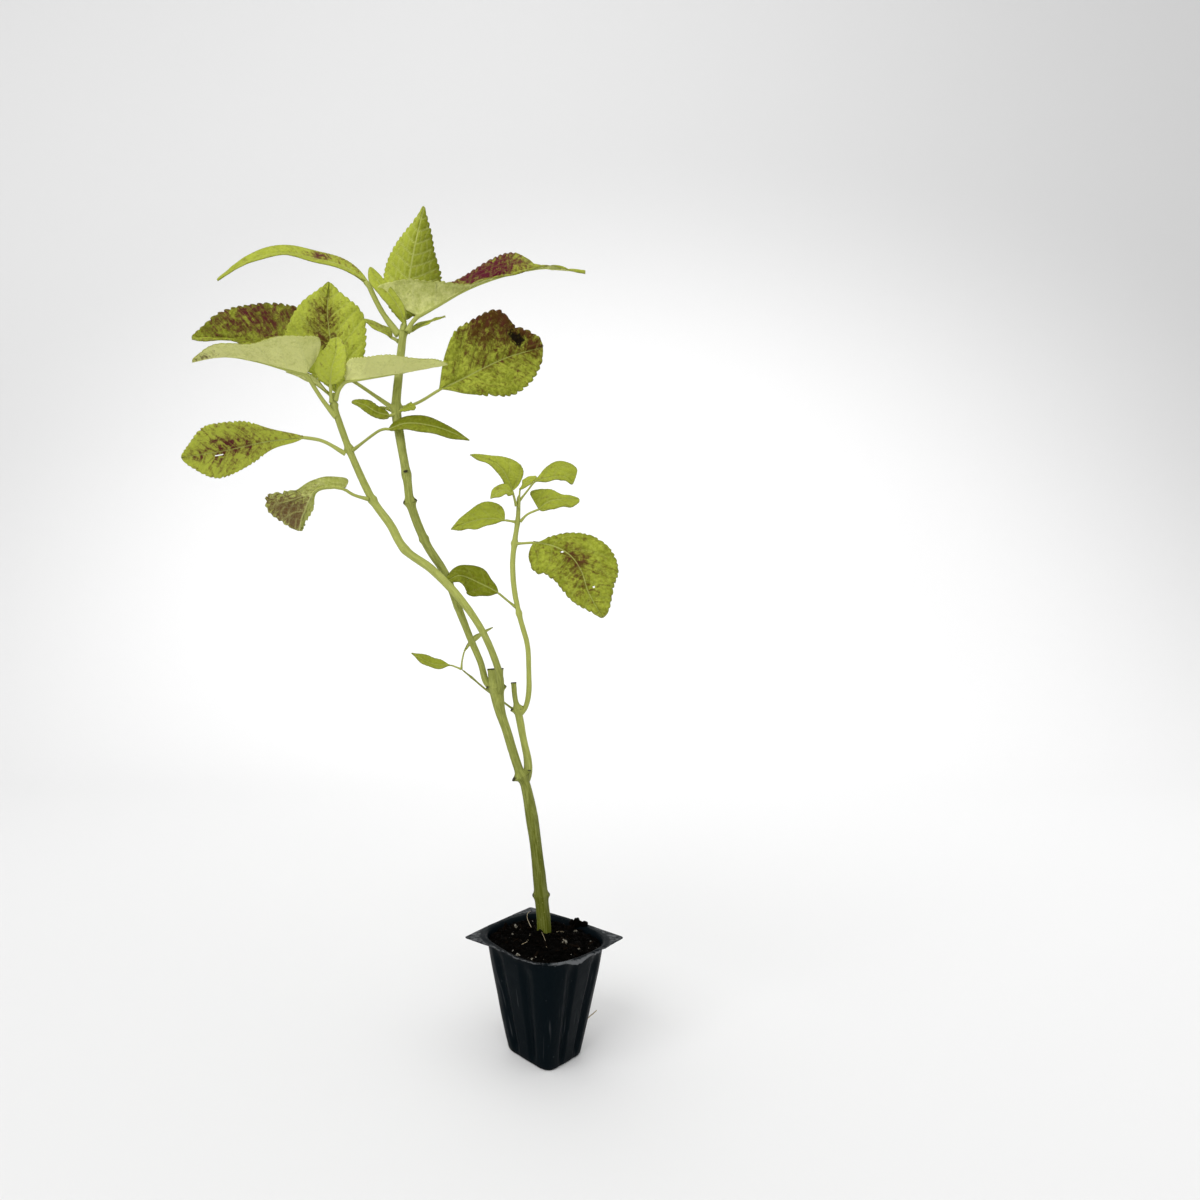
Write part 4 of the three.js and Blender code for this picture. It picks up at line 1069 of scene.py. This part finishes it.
def stalk_shape(shape, m, made):
    """Adds the leaf stalk, which runs on under the blade as its midrib."""
    radius, stalk, rib = made["stalk_radius"], Route(made["stalk"]), m["rib"]
    share = np.linspace(0.02, 0.9, 24)
    thin = radius * (0.8 - 0.68 * share**0.7)
    up = np.stack([np.interp(share, m["t"], m["up"][:, k]) for k in range(3)], -1)
    under = rib.at(share * rib.length) - up * (0.62 * thin)[:, None]
    run = stalk.at(np.linspace(0, 0.97, 16) * stalk.length)
    route = Route(np.concatenate([run, under])[::2])
    mm = np.linspace(0, route.length, int(route.length / 0.9) + 8)
    first = min(stalk.length / route.length, 0.9)
    place = mm / route.length
    thick = radius * (1 + 0.45 * bell(place, 0.25 * first))
    thick = np.where(place < first, thick, np.interp((place - first) / (1 - first), share, thin))
    thick = thick * (1 + 0.04 * soft_noise(route.at(mm), 2.5, 9))
    sides, ups = frames_along(route, mm)
    angle = np.linspace(0, 2 * np.pi, AROUND["stalk"], endpoint=False)
    thick = thick[:, None] * (1 + 0.05 * np.cos(2 * angle))[None, :]
    tube(
        shape, route.at(mm), sides, ups, thick, mm, STALK, olive=0.1 + 0.3 * (1 - made["light"]),
        light=made["light"], under=made["under"],
    )


class COLEUS_OT_leaves(bpy.types.Operator):
    """Builds every leaf with its stalk, toothed margin, quilted blade and veins"""

    bl_idname = "coleus.leaves"
    bl_label = "Leaves"

    def execute(self, context):
        s = context.scene.coleus_leaves
        stems = context.scene.coleus_stems
        materials = [
            finish("leaf_upper_side", leaf_upper_finish, s),
            finish("leaf_under_side", leaf_lower_finish, s),
            finish("stem_skin", stem_finish, stems),
        ]
        slots = {row["node"]: row["material_slot"] for row in frame["record"]["subparts"]}
        for seed, (node, made) in enumerate(LEAVES.items()):
            shape = Shape(
                "stain", "vein", "rim", "puff", "light", "under", "wine", "scorch", "midrib",
                "pale", "mottle", "olive", "scar",
            )
            measures = leaf_sheet(made, s)
            blade_shape(shape, measures, made, s, seed + 3)
            stalk_shape(shape, measures, made)
            shape.piece(node + "_blade", slots[node], materials, node)
        return {"FINISHED"}


# ---- Stem shapes --------------------------------------------------------------------------------


def stem_shape(made, s):
    """A slightly square stem with swollen joints, leaf scars and a cut or rounded end."""
    route = Route(made["points"])
    mm = np.append(np.arange(0, route.length, s.mesh_pitch / MM), route.length)
    centres = route.at(mm)
    sides, ups = frames_along(route, mm)
    columns = AROUND["twig"] if max(made["radii"]) < 1 else AROUND["stem"]
    angle = np.linspace(0, 2 * np.pi, columns, endpoint=False)[None, :]
    radius = smooth(made["radii"], mm / route.length)[:, None] * np.ones_like(angle)
    radius = radius * (1 + s.squareness * np.cos(4 * angle))
    scar = np.zeros_like(radius)
    # At a joint the stem swells all around and under its pair of leaves, with dark scars.
    for z, swell, turn, dark in made["nodes"]:
        row = np.interp(z, centres[:, 2], np.arange(len(mm)))
        gap = mm[:, None] - mm[int(row)]
        pair = np.abs(np.cos(angle - math.radians(turn))) ** 5
        radius = radius + swell * (0.55 * bell(gap, 2.0) + pair * bell(gap - 0.4, 1.1))
        scar = np.maximum(scar, dark * pair * bell(gap - 0.9, 0.7))
        scar = np.maximum(scar, 0.42 * dark * bell(gap, 0.6))
    spots = centres[:, None] + radius[..., None] * np.cos(angle)[..., None] * sides[:, None]
    radius = radius + 0.05 * soft_noise(spots + 7 * angle[..., None], 2.2, 4)
    radius = radius + 0.10 * soft_noise(spots, 9, 6)
    if made["cut"]:
        radius = radius + 0.18 * bell(mm - route.length, 0.9)[:, None]
        scar = np.maximum(scar, bell(mm - route.length, 0.5)[:, None])
        share, step, dark = np.array(CUT_END).T[..., None]
        centres = np.concatenate([centres, centres[-1] + step * route.heading(route.length)])
        radius = np.concatenate([radius, share * radius[-1]])
        scar = np.concatenate([scar, dark * np.ones_like(angle)])
        sides, ups, mm = (np.concatenate([v, [v[-1]] * len(CUT_END)]) for v in (sides, ups, mm))
    else:
        radius = radius * np.sqrt(np.clip((route.length - mm + 0.05) / 1.6, 0.03, 1))[:, None]
    olive = smooth(made["olive"], mm / route.length)[:, None]
    shape = Shape("olive", "scar")
    tube(shape, centres, sides, ups, radius, mm, olive=olive, scar=scar)
    return shape


class COLEUS_OT_stems(bpy.types.Operator):
    """Builds the stems with their joints, leaf scars and cut ends"""

    bl_idname = "coleus.stems"
    bl_label = "Stems"

    def execute(self, context):
        s = context.scene.coleus_stems
        for node, made in STEMS.items():
            skin = finish("stem_skin", stem_finish, s)
            stem_shape(made, s).piece(node + "_flesh", "stem", [skin], node)
        return {"FINISHED"}


# ---- Cell ---------------------------------------------------------------------------------------


def cell_radius(z, degrees, inset=0.0):
    """Distance from the middle to the cell's wall at a height, in each direction."""
    share = z / CELL["height"]
    half = CELL["base_half_width"] + (CELL["rim_half_width"] - CELL["base_half_width"]) * share
    power = CELL["base_squareness"] + (CELL["rim_squareness"] - CELL["base_squareness"]) * share
    own = np.asarray(degrees, float) - CELL["turn"]
    across = np.abs(np.cos(np.radians(own - 45))) ** power
    along = np.abs(np.sin(np.radians(own - 45))) ** power
    from_corner = np.abs(np.mod(own + 45, 90) - 45)
    off = np.clip(np.abs(from_corner - GROOVE["from_corner"]) / GROOVE["half_span"], 0, 1)
    # The grooves run out at the foot and below the rim.
    groove = GROOVE["depth"] * np.cos(off * np.pi / 2) ** 2
    groove = groove * ease(0, 7, z) * (1 - 0.85 * ease(45, 53.5, z))
    return half / (across + along) ** (1 / power) - groove - inset


def flange_radius(degrees):
    """Outline of the torn web around the rim: a diamond with one corner missing."""
    turn = np.radians(degrees)
    x, y = np.cos(turn), np.sin(turn)
    radius = np.minimum(FLANGE["edge"] / (np.abs(x) + np.abs(y)), FLANGE["tip"])
    front = FLANGE["front"] / np.maximum(-y, 1e-6)
    spot = np.stack([30 * x, 30 * y, 0 * x], -1)
    torn = front + 1.0 * soft_noise(spot, 3.5, 3) + 0.6 * soft_noise(spot, 1.2, 8)
    rim = cell_radius(CELL["height"], degrees)
    least = rim + 0.3 + 0.4 * np.abs(soft_noise(spot, 1.6, 15))
    radius = np.where(y < -0.5, np.minimum(radius, np.maximum(torn, least)), radius)
    return radius + 0.12 * soft_noise(spot, 2.5, 12)


def from_way(degrees, middle):
    """Degrees from a direction, -180 to 180."""
    return np.mod(degrees - middle + 180, 360) - 180


def around(columns):
    """Directions all around, in degrees and in radians."""
    degrees = np.arange(columns) * 360 / columns
    return degrees, np.radians(degrees)


def ring_points(rings, turn):
    """Places of rings given as pairs of radius and height."""
    radius, z = (np.stack([np.broadcast_to(ring[k], turn.shape) for ring in rings]) for k in (0, 1))
    return np.stack([radius * np.cos(turn), radius * np.sin(turn), z], -1)


def cell_shape(s):
    """The thin cell: inside, rim, flange and outside as one closed skin."""
    degrees, turn = around(AROUND["cell"])
    way = np.stack([np.cos(turn), np.sin(turn), 0 * turn], -1)
    top, wall, web, floor = CELL["height"], s.wall / MM, FLANGE["thickness"], CELL["floor"]
    front = ease(0.25, 0.7, -np.sin(turn))
    sag = CELL["sag"] * bell(from_way(degrees, CELL["sag_way"]), 28)
    curl = 0.55 + 0.95 * ease(-0.85, -0.3, np.sin(turn))
    ragged = 0.8 * soft_noise(30 * way, 4, 21) + 0.4 * soft_noise(30 * way, 1.3, 22)
    wave = 0.35 * soft_noise(30 * way, 16, 2) + front * ragged
    rim = cell_radius(top, degrees, wall)
    inner = rim + curl
    edge = np.maximum(flange_radius(degrees), inner + 0.3)

    # Inside, from the middle of the floor up to the rolled rim.
    rings = [(POLE, floor), (cell_radius(floor, degrees, 3.0), floor)]
    for z in np.linspace(2.5, top - 2.2, 18):
        rings.append((cell_radius(z, degrees, wall), z))
    for a in np.radians((15, 35, 55, 75, 90)):
        rings.append((rim + curl * (1 - math.cos(a)), top - curl * (1 - math.sin(a)) - sag))

    # Flange: out over its top, round its edge and back in below.
    for share in (0.15, 0.35, 0.55, 0.75, 0.9, 0.98):
        lift = wave - sag * (1 - share)
        rings.append((inner + (edge - inner) * share, top + lift * share - sag * (1 - share)))
    rings += [(edge, top - 0.25 * web + wave), (edge, top - 0.75 * web + wave)]
    root = np.minimum(cell_radius(top, degrees) + 0.6 * curl, edge - 0.15)
    for share in (0.97, 0.75, 0.5, 0.25, 0.0):
        z = top - web + wave * share - sag * (1 - share)
        rings.append((root + (edge - 0.1 - root) * share, z))

    # Outside, from under the flange down to the middle of the foot.
    for drop in (0.35, 0.9, 1.6):
        near = 0.6 * curl * (1 - drop / 1.6) ** 1.5
        rings.append((cell_radius(top - drop, degrees) + near, top - web - drop - sag))
    for z in np.linspace(top - 3.2, 2.4, 52):
        dent = 0.25 * soft_noise(25 * way + (0, 0, z), 14, 5) * ease(0, 10, z)
        rings.append((cell_radius(z, degrees) + dent, z - sag * ease(30, 52, z)))
    foot, bevel = cell_radius(1.6, degrees), 1.7
    for a in np.radians((25, 50, 75, 90)):
        rings.append((foot - bevel * (1 - math.cos(a)), bevel * (1 - math.sin(a))))
    rings += [(foot - 3.5, 0.0), (foot * 0.5, 0.0), (POLE, 0.0)]

    points = ring_points(rings, turn)
    z, radius = points[..., 2], np.hypot(points[..., 0], points[..., 1])
    back = bell(from_way(degrees, CELL["soil_way"]), 70)
    grime = 0.75 * back * (1 - ease(3, 30, z)) + 0.3 * (1 - ease(0, 5, z)) + 0.18 * ease(47, 53, z)
    scuff = 0.3 * front + 0.7 * bell(from_way(degrees, CELL["scuff_way"]), 13)
    worn = scuff * bell(z + sag - top + 0.4, 1.1)
    # The whole flange is painted lighter grey: a painted sheen standing in for its reflection.
    worn = worn + 0.62 * ease(0.5, 2.5, radius - inner) * (z > top - 1.5)
    run = np.cumsum(np.linalg.norm(np.diff(points[:, 0], axis=0, prepend=points[:1, 0]), axis=1))
    shape = Shape("grime", "worn")
    ends = [(0, 0, floor), (0, 0, 0)]
    closed_rings(shape, points, ends, run, inward=True, grime=grime, worn=worn)
    return shape


class COLEUS_OT_cell(bpy.types.Operator):
    """Builds the black tray cell with its grooves, rim and torn flange"""

    bl_idname = "coleus.cell"
    bl_label = "Cell"

    def execute(self, context):
        s = context.scene.coleus_pot
        plastic = finish("black_plastic", cell_finish, s)
        cell_shape(s).piece("cell_shell", "cell", [plastic], "cell")
        return {"FINISHED"}


# ---- Compost, perlite and roots -----------------------------------------------------------------


def soil_height(x, y):
    """Height of the compost: a low mound with soft lumps, clods and dips."""
    share = np.clip(1 - np.hypot(x, y) / (CELL["rim_half_width"] - 1), 0, 1)
    spot = np.stack([x, y, 0.0 * x], -1)
    lumps = 0.8 * soft_noise(spot, 7, 21) + 0.5 * soft_noise(spot, 3.2, 22)
    lumps = ease(0, 0.1, share) * (lumps + 0.3 * soft_noise(spot, 1.5, 23))
    mound = (SOIL["mound"] - SOIL["rim"]) * np.sqrt(share)
    heap = 2.6 * bell(x + 1, 7) * bell(y + 4, 6)
    return SOIL["rim"] - 1.0 + mound + lumps + heap


def soil_shape():
    """The body of the compost, closed below by the cell's floor."""
    degrees, turn = around(AROUND["soil"])
    bottom, clear = SOIL["bottom"], SOIL["clear"]
    rings = [(POLE, bottom), (cell_radius(4, degrees, 3.2), bottom)]
    rings += [(cell_radius(z, degrees, clear), z) for z in (5, 20, 38, 49)]
    edge = cell_radius(SOIL["rim"], degrees, clear - 0.2)
    for share in np.linspace(1, 0.02, 62):
        far = edge * share
        rings.append((far, soil_height(far * np.cos(turn), far * np.sin(turn))))
    points = ring_points(rings, turn)
    shape = Shape("chip")
    closed_rings(shape, points, [(0, 0, bottom), points[-1].mean(axis=0)])
    return shape


def ball(detail):
    """Corners and triangles of a ball of radius one."""
    mesh = bmesh.new()
    bmesh.ops.create_icosphere(mesh, subdivisions=detail, radius=1)
    corners = np.array([v.co[:] for v in mesh.verts])
    faces = np.array([[v.index for v in f.verts] for f in mesh.faces])
    mesh.free()
    return corners, faces


def turned(corners, rng):
    """Corners turned to a random direction."""
    a, b = (np.array([rng.gauss(0, 1) for _ in range(3)]) for _ in range(2))
    a = unit(a)
    b = unit(b - a * np.dot(a, b))
    return corners @ np.stack([a, b, np.cross(a, b)])


def lump(shape, ball_shape, at, size, rng, rough, seed, **marks):
    """Adds one uneven crumb or grain; size is its three half lengths."""
    corners, faces = ball_shape
    bulge = 1 + rough * soft_noise(corners * 1.7 + rng.uniform(0, 90), 1.0, seed)
    shape.add(turned(corners * bulge[:, None] * np.array(size), rng) + np.array(at), faces, **marks)


def strand(shape, points, thick, columns, **marks):
    """Adds one thin root or fibre that thins towards its end."""
    route = Route(points)
    mm = np.linspace(0, route.length, max(int(route.length / 0.7), 6))
    radius = thick * (1 - 0.55 * mm / route.length) * (1 + 0.16 * soft_noise(route.at(mm), 1.6, 31))
    radius = radius[:, None] * np.ones((1, columns))
    tube(shape, route.at(mm), *frames_along(route, mm), radius, mm, **marks)


class COLEUS_OT_compost(bpy.types.Operator):
    """Builds the compost with its crumbs, bark chips, fibres and perlite"""

    bl_idname = "coleus.compost"
    bl_label = "Compost"

    def execute(self, context):
        s = context.scene.coleus_pot
        rng = random.Random(s.seed)
        small, middling, large, finest = (ball(detail) for detail in (1, 2, 3, 4))
        shape = soil_shape()

        def spot(limit=0.97):
            """A random place on the compost, within a share of its radius."""
            turn, share = rng.uniform(0, 360), math.sqrt(rng.random()) * limit
            r = float(cell_radius(SOIL["rim"], turn, SOIL["clear"])) * share
            x, y = r * math.cos(math.radians(turn)), r * math.sin(math.radians(turn))
            return x, y, float(soil_height(x, y))

        for k in range(s.crumbs):
            x, y, z = spot()
            size = 0.35 + 1.2 * rng.random() ** 3
            three = (size, size * rng.uniform(0.6, 0.95), size * rng.uniform(0.5, 0.8))
            crumb = middling if size > 0.8 else small
            lump(shape, crumb, (x, y, z + 0.1 * size), three, rng, 0.45, k)
        for k, (*at, size) in enumerate(CLODS):
            lump(shape, large, at, (size, 0.8 * size, 0.7 * size), rng, 0.3, k)
        for k in range(s.chips):
            x, y, z = spot()
            long = rng.uniform(1.2, 3.4)
            three = (long, long * rng.uniform(0.15, 0.35), rng.uniform(0.2, 0.45))
            lump(shape, middling, (x, y, z + 0.35), three, rng, 0.3, k, chip=rng.uniform(0.3, 1))
        for _ in range(s.fibres):
            x, y, z = spot(0.9)
            turn = rng.uniform(0, 2 * math.pi)
            long = rng.uniform(2.5, 6)
            bend = rng.uniform(-1.2, 1.2)
            points = []
            for u in (0, 0.33, 0.66, 1):
                ahead, aside = u * long, bend * u * (1 - u) * 4
                points.append((
                    x + ahead * math.cos(turn) - aside * math.sin(turn),
                    y + ahead * math.sin(turn) + aside * math.cos(turn),
                    z + 0.4 + rng.uniform(-0.2, 0.9),
                ))
            thick = rng.uniform(0.07, 0.16)
            strand(shape, points, thick, AROUND["fibre"], chip=rng.uniform(0.5, 1))
        damp = finish("damp_compost", compost_finish, s)
        shape.piece("compost_surface", "compost", [damp], "compost")

        white = finish("perlite_foam", perlite_finish, s)
        for k, (x, y, radius) in enumerate(GRAINS):
            grain = Shape()
            at = (x, y, float(soil_height(x, y)) + 0.1 * radius)
            three = (0.85 * radius, 0.6 * radius, 0.55 * radius)
            lump(grain, finest, at, three, rng, 0.6, k)
            if k == 0:
                specks = Shape()
                for n in range(s.specks):
                    x, y, z = spot()
                    size = 0.16 + 0.5 * rng.random() ** 2.5
                    three = (size, 0.8 * size, 0.7 * size)
                    lump(specks, middling, (x, y, z + 0.3 * size), three, rng, 0.5, n)
                specks.piece("perlite_specks", "perlite", [white])
            node = f"perlite_grain_{k + 1}"
            grain.piece(node + "_lump", "perlite", [white], node)
        return {"FINISHED"}


class COLEUS_OT_roots(bpy.types.Operator):
    """Builds the roots outside the cell and the fine roots on the compost"""

    bl_idname = "coleus.roots"
    bl_label = "Roots"

    def execute(self, context):
        s = context.scene.coleus_pot
        skin = finish("root_skin", root_finish, s)
        thick = s.root_radius / MM

        def place(turn, z, off):
            """A place beside the wall: angle around the cell, height, how far off the wall."""
            r = float(cell_radius(max(z, 0.5), turn)) + thick + 0.15 + off
            return r * math.cos(math.radians(turn)), r * math.sin(math.radians(turn)), max(z, 0.6)

        for node, route in ROOTS.items():
            shape = Shape()
            line = Route([place(*step) for step in route])
            share = np.linspace(0, 1, 14)
            points = line.at(share * line.length)
            sway = 0.35 * np.sin(np.pi * share) * soft_noise(points * 3.1, 4, 3)
            strand(shape, points + sway[:, None], thick, AROUND["root"])
            for start, *steps in ROOT_BRANCHES[node]:
                row = start * (len(route) - 1)
                foot = [np.interp(row, range(len(route)), column) for column in zip(*route)]
                steps = [(0, 0, 0), *steps]
                branch = [place(*(a + b for a, b in zip(foot, step))) for step in steps]
                strand(shape, branch, 0.45 * thick, AROUND["side_root"])
            shape.piece(node + "_strand", "root", [skin], node)
        fine = Shape()
        for points, radius in SURFACE_ROOTS:
            points = [(x, y, float(soil_height(x, y)) + lift) for x, y, lift in points]
            strand(fine, points, radius, AROUND["side_root"])
        fine.piece("surface_roots", "root", [skin])
        return {"FINISHED"}


# ---- Stage --------------------------------------------------------------------------------------


def add_lamp(name, at, aim, size, power):
    """A square soft light that looks from one place to another."""
    data = bpy.data.lights.new(name, "AREA")
    data.shape = "SQUARE"
    data.size = size
    data.energy = power
    lamp = bpy.data.objects.new(name, data)
    lamp.location = at
    x, y, z = np.array(aim, float) - np.array(at, float)
    lamp.rotation_euler = (math.atan2(math.hypot(x, y), -z), 0, math.atan2(y, x) - math.pi / 2)
    bpy.context.scene.collection.objects.link(lamp)


class COLEUS_OT_stage(bpy.types.Operator):
    """Sets up the pale floor, the soft light and the camera"""

    bl_idname = "coleus.stage"
    bl_label = "Stage"

    def execute(self, context):
        s, scene = context.scene.coleus_stage, context.scene
        scene.view_settings.view_transform = "Standard"
        self.add_floor(s, scene)
        self.add_light(s, scene)
        self.add_camera(s, scene)
        return {"FINISHED"}

    def add_floor(self, s, scene):
        """A pale sheet that lies flat and bends up behind, with painted shade that darkens it away
        from its middle.
        """
        f = Finish("pale_floor")
        # Painted shade: the colour darkens with distance from a point before the backdrop, standing
        # in for light that falls off.
        squeezed = f.node("Mapping", Vector=f.place(), Scale=(0.9, 0.85, 1.6)).outputs["Vector"]
        far = f.node("VectorMath", {"operation": "DISTANCE"}, (squeezed, (0.5, 1.0, 0.5)))
        tone = f.mix(f.span(far.outputs["Value"], 0.5, 1.7), s.floor, s.floor_painted_shade)
        depth, height, bend, wide, near = 1.3, 2.4, 0.7, 3.0, -1.6
        profile = [(near, 0.0), (0.0, 0.0), (depth - bend, 0.0)]
        for a in np.linspace(0, math.pi / 2, 17)[1:]:
            profile.append((depth - bend + bend * math.sin(a), bend * (1 - math.cos(a))))
        profile.append((depth, height))
        corners = [(x, y, z) for y, z in profile for x in (-wide, wide)]
        mesh = bpy.data.meshes.new("floor")
        mesh.from_pydata(corners, [], grid_faces(len(profile), 2).tolist())
        mesh.materials.append(f.done(tone, 0.9, 0.1))
        mesh.shade_smooth()
        floor = bpy.data.objects.new("floor", mesh)
        scene.collection.objects.link(floor)

    def add_light(self, s, scene):
        """Even light from all around and three soft lamps."""
        world = bpy.data.worlds.new("soft_room")
        world.use_nodes = True
        background = world.node_tree.nodes["Background"]
        background.inputs["Color"].default_value = (*s.room, 1)
        background.inputs["Strength"].default_value = s.room_light
        scene.world = world
        middle = (-0.06, 0.0, 0.2)
        add_lamp("key_light", (-1.4, -1.3, 1.8), middle, 1.5, s.key_light)
        add_lamp("fill_light", (0.1, -1.6, 0.7), middle, 1.2, s.fill_light)
        add_lamp("backdrop_light", (0.4, 0.1, 1.6), (0.4, 1.2, 0.5), 1.6, s.backdrop_light)

    def add_camera(self, s, scene):
        """A level camera in front of the plant."""
        data = bpy.data.cameras.new("camera")
        data.sensor_width = s.sensor
        data.lens = s.lens
        data.shift_x, data.shift_y = s.shift
        data.clip_start, data.clip_end = 0.01, 20
        camera = bpy.data.objects.new("camera", data)
        camera.location = s.eye
        camera.rotation_euler = (math.pi / 2, 0, 0)
        scene.collection.objects.link(camera)
        scene.camera = camera


# ---- Settings -----------------------------------------------------------------------------------


def length(name, about, mm):
    """A length, given here in millimetres and kept in metres."""
    return FloatProperty(
        name=name, description=about, default=mm * MM, min=0, precision=5, unit="LENGTH"
    )


def colour(name, about, code):
    """A colour, given here as rrggbb."""
    return FloatVectorProperty(
        name=name, description=about, default=shade(code), size=3, min=0, max=1, subtype="COLOR"
    )


def count(name, about, value):
    """A whole number of things."""
    return IntProperty(name=name, description=about, default=value, min=0)


def lamp_power(name, about, watts):
    """The power of a lamp."""
    return FloatProperty(name=name, description=about, default=watts, min=0, unit="POWER")


class ColeusLeaves(bpy.types.PropertyGroup):
    """Sizes and colours of the leaves"""

    mesh_pitch: length("Mesh pitch", "Spacing of the blade's mesh", 0.55)
    thickness: length("Thickness", "Thickness of the blade", 0.34)
    tooth_pitch: length("Tooth pitch", "Length of one tooth of the margin", 3.1)
    tooth_depth: length("Tooth depth", "Depth of one tooth of the margin", 1.15)
    vein_pitch: length("Vein pitch", "Spacing of the side veins along the midrib", 8.5)
    cell_pitch: length("Cell pitch", "Spacing of the small raised cells between side veins", 3.0)
    puff_height: length("Puff height", "How far the tissue rises between veins", 0.75)
    wave: length("Wave", "How far the margin waves up and down", 0.7)
    green_light: colour("Light green", "Brightest green of the upper side", "b8c248")
    green_deep: colour("Deep green", "Darkest green of the upper side", "6c7412")
    vein: colour("Vein", "Veins of the upper side", "c6cc76")
    burgundy: colour("Burgundy", "Reddest stain of the upper side", "5c1b2b")
    burgundy_brown: colour("Brown burgundy", "Brownest stain of the upper side", "4f3510")
    # Painted shade: the near black put into dents where the blade curls away from the light.
    dent_shade_colour: colour("Scorched", "Withered dents of the blade", "1c1408")
    rim_brown: colour("Rim", "Dry tips of the teeth", "9a9666")
    under_light: colour("Light underside", "Brightest tone of the underside", "e8ea9a")
    under_deep: colour("Deep underside", "Darkest tone of the underside", "b2ba58")
    mauve: colour("Mauve", "Mauve stain of the underside", "5c382c")
    under_vein: colour("Underside vein", "Veins of the underside", "d6d996")


class ColeusStems(bpy.types.PropertyGroup):
    """Sizes and colours of the stems"""

    mesh_pitch: length("Mesh pitch", "Spacing of the rings along a stem", 0.5)
    squareness: FloatProperty(
        name="Squareness", description="How far the stem's section is from round", default=0.035,
        min=0, max=0.2, subtype="FACTOR",
    )
    stem_pale: colour("Pale stem", "Colour of young stems", "a8ae5a")
    stem_olive: colour("Olive stem", "Colour of old stems", "4c5206")
    stem_light: colour("Light lines", "Pale flecks and lines of the skin", "c4c880")
    scar: colour("Scar", "Leaf scars and cut ends", "2a2814")


class ColeusPot(bpy.types.PropertyGroup):
    """Sizes, counts and colours of the cell, the compost, the perlite and the roots"""

    wall: length("Wall", "Thickness of the cell's wall", 0.7)
    root_radius: length("Root radius", "Radius of the roots outside the cell", 0.45)
    crumbs: count("Crumbs", "Crumbs on the compost", 900)
    chips: count("Chips", "Bark chips on the compost", 60)
    fibres: count("Fibres", "Fibres on the compost", 60)
    specks: count("Specks", "Tiny grains of perlite", 34)
    seed: count("Seed", "Start of the random order", 11)
    plastic: colour("Plastic", "The cell's plastic", "050c10")
    plastic_dusty: colour("Dusty plastic", "Plastic under a film of dust", "0a1013")
    plastic_soil: colour("Soiled plastic", "Dried compost on the plastic", "1c1711")
    # Light grey for real scratches and scuffs, and for the painted sheen on the flange.
    plastic_scuff_and_sheen: colour("Scuffs", "Scratches and specks on the plastic", "66686a")
    compost_dark: colour("Dark compost", "Wettest compost", "020201")
    compost_brown: colour("Brown compost", "Driest compost", "060403")
    bark: colour("Bark", "Chips and fibres", "120c07")
    perlite: colour("Perlite", "Clean perlite", "98958a")
    perlite_stained: colour("Stained perlite", "Perlite stained by compost", "4c4638")
    root: colour("Root", "Clean root", "c9bda0")
    root_stained: colour("Stained root", "Root stained by compost", "8d7a58")


class ColeusStage(bpy.types.PropertyGroup):
    """The floor, the light and the camera"""

    floor: colour("Floor", "The pale floor and backdrop", "fbfbfb")
    # Painted shade that darkens the floor and backdrop towards their far edges.
    floor_painted_shade: colour("Floor edge", "The floor and backdrop far from their middle", "dadada")
    room: colour("Room", "Colour of the light from all around", "ffffff")
    room_light: FloatProperty(
        name="Room light", description="Strength of the light from all around", default=0.74, min=0
    )
    key_light: lamp_power("Key light", "Main soft light", 28.5)
    fill_light: lamp_power("Fill light", "Second soft light", 5)
    backdrop_light: lamp_power("Backdrop light", "Light on the backdrop", 4)
    sensor: FloatProperty(
        name="Sensor", description="Width of the camera's sensor", default=36, unit="CAMERA"
    )
    lens: FloatProperty(
        name="Lens", description="Focal length of the camera", default=21, unit="CAMERA"
    )
    shift: FloatVectorProperty(
        name="Shift", description="Camera shift, as a share of the frame's width", size=2,
        default=(0.158, 0.036),
    )
    eye: FloatVectorProperty(
        name="Eye", description="Where the camera stands", size=3, subtype="TRANSLATION",
        unit="LENGTH", default=(-0.0635, -0.332, 0.193),
    )


GROUPS = {
    "coleus_leaves": ColeusLeaves,
    "coleus_stems": ColeusStems,
    "coleus_pot": ColeusPot,
    "coleus_stage": ColeusStage,
}
OPERATORS = (
    COLEUS_OT_cell, COLEUS_OT_compost, COLEUS_OT_roots, COLEUS_OT_stems, COLEUS_OT_leaves,
    COLEUS_OT_stage,
)


class COLEUS_PT_panel(bpy.types.Panel):
    """Lists the steps that build the plant"""

    bl_idname = "COLEUS_PT_panel"
    bl_label = "Potted coleus"
    bl_space_type = "VIEW_3D"
    bl_region_type = "UI"
    bl_category = "Coleus"

    def draw(self, context):
        for operator in OPERATORS:
            self.layout.operator(operator.bl_idname)
        for key, group in GROUPS.items():
            box = self.layout.box()
            for name in group.__annotations__:
                box.prop(getattr(context.scene, key), name)


CLASSES = (*GROUPS.values(), *OPERATORS, COLEUS_PT_panel)


def register():
    """Adds the classes and their settings."""
    for item in CLASSES:
        bpy.utils.register_class(item)
    for key, group in GROUPS.items():
        setattr(bpy.types.Scene, key, PointerProperty(type=group))


def unregister():
    """Takes the settings and the classes out again."""
    for key in GROUPS:
        delattr(bpy.types.Scene, key)
    for item in reversed(CLASSES):
        bpy.utils.unregister_class(item)


def main():
    """Builds the stage and the plant."""
    register()
    bpy.ops.coleus.stage()
    bpy.ops.coleus.cell()
    bpy.ops.coleus.compost()
    bpy.ops.coleus.roots()
    bpy.ops.coleus.stems()
    bpy.ops.coleus.leaves()


if __name__ == "__main__":
    main()
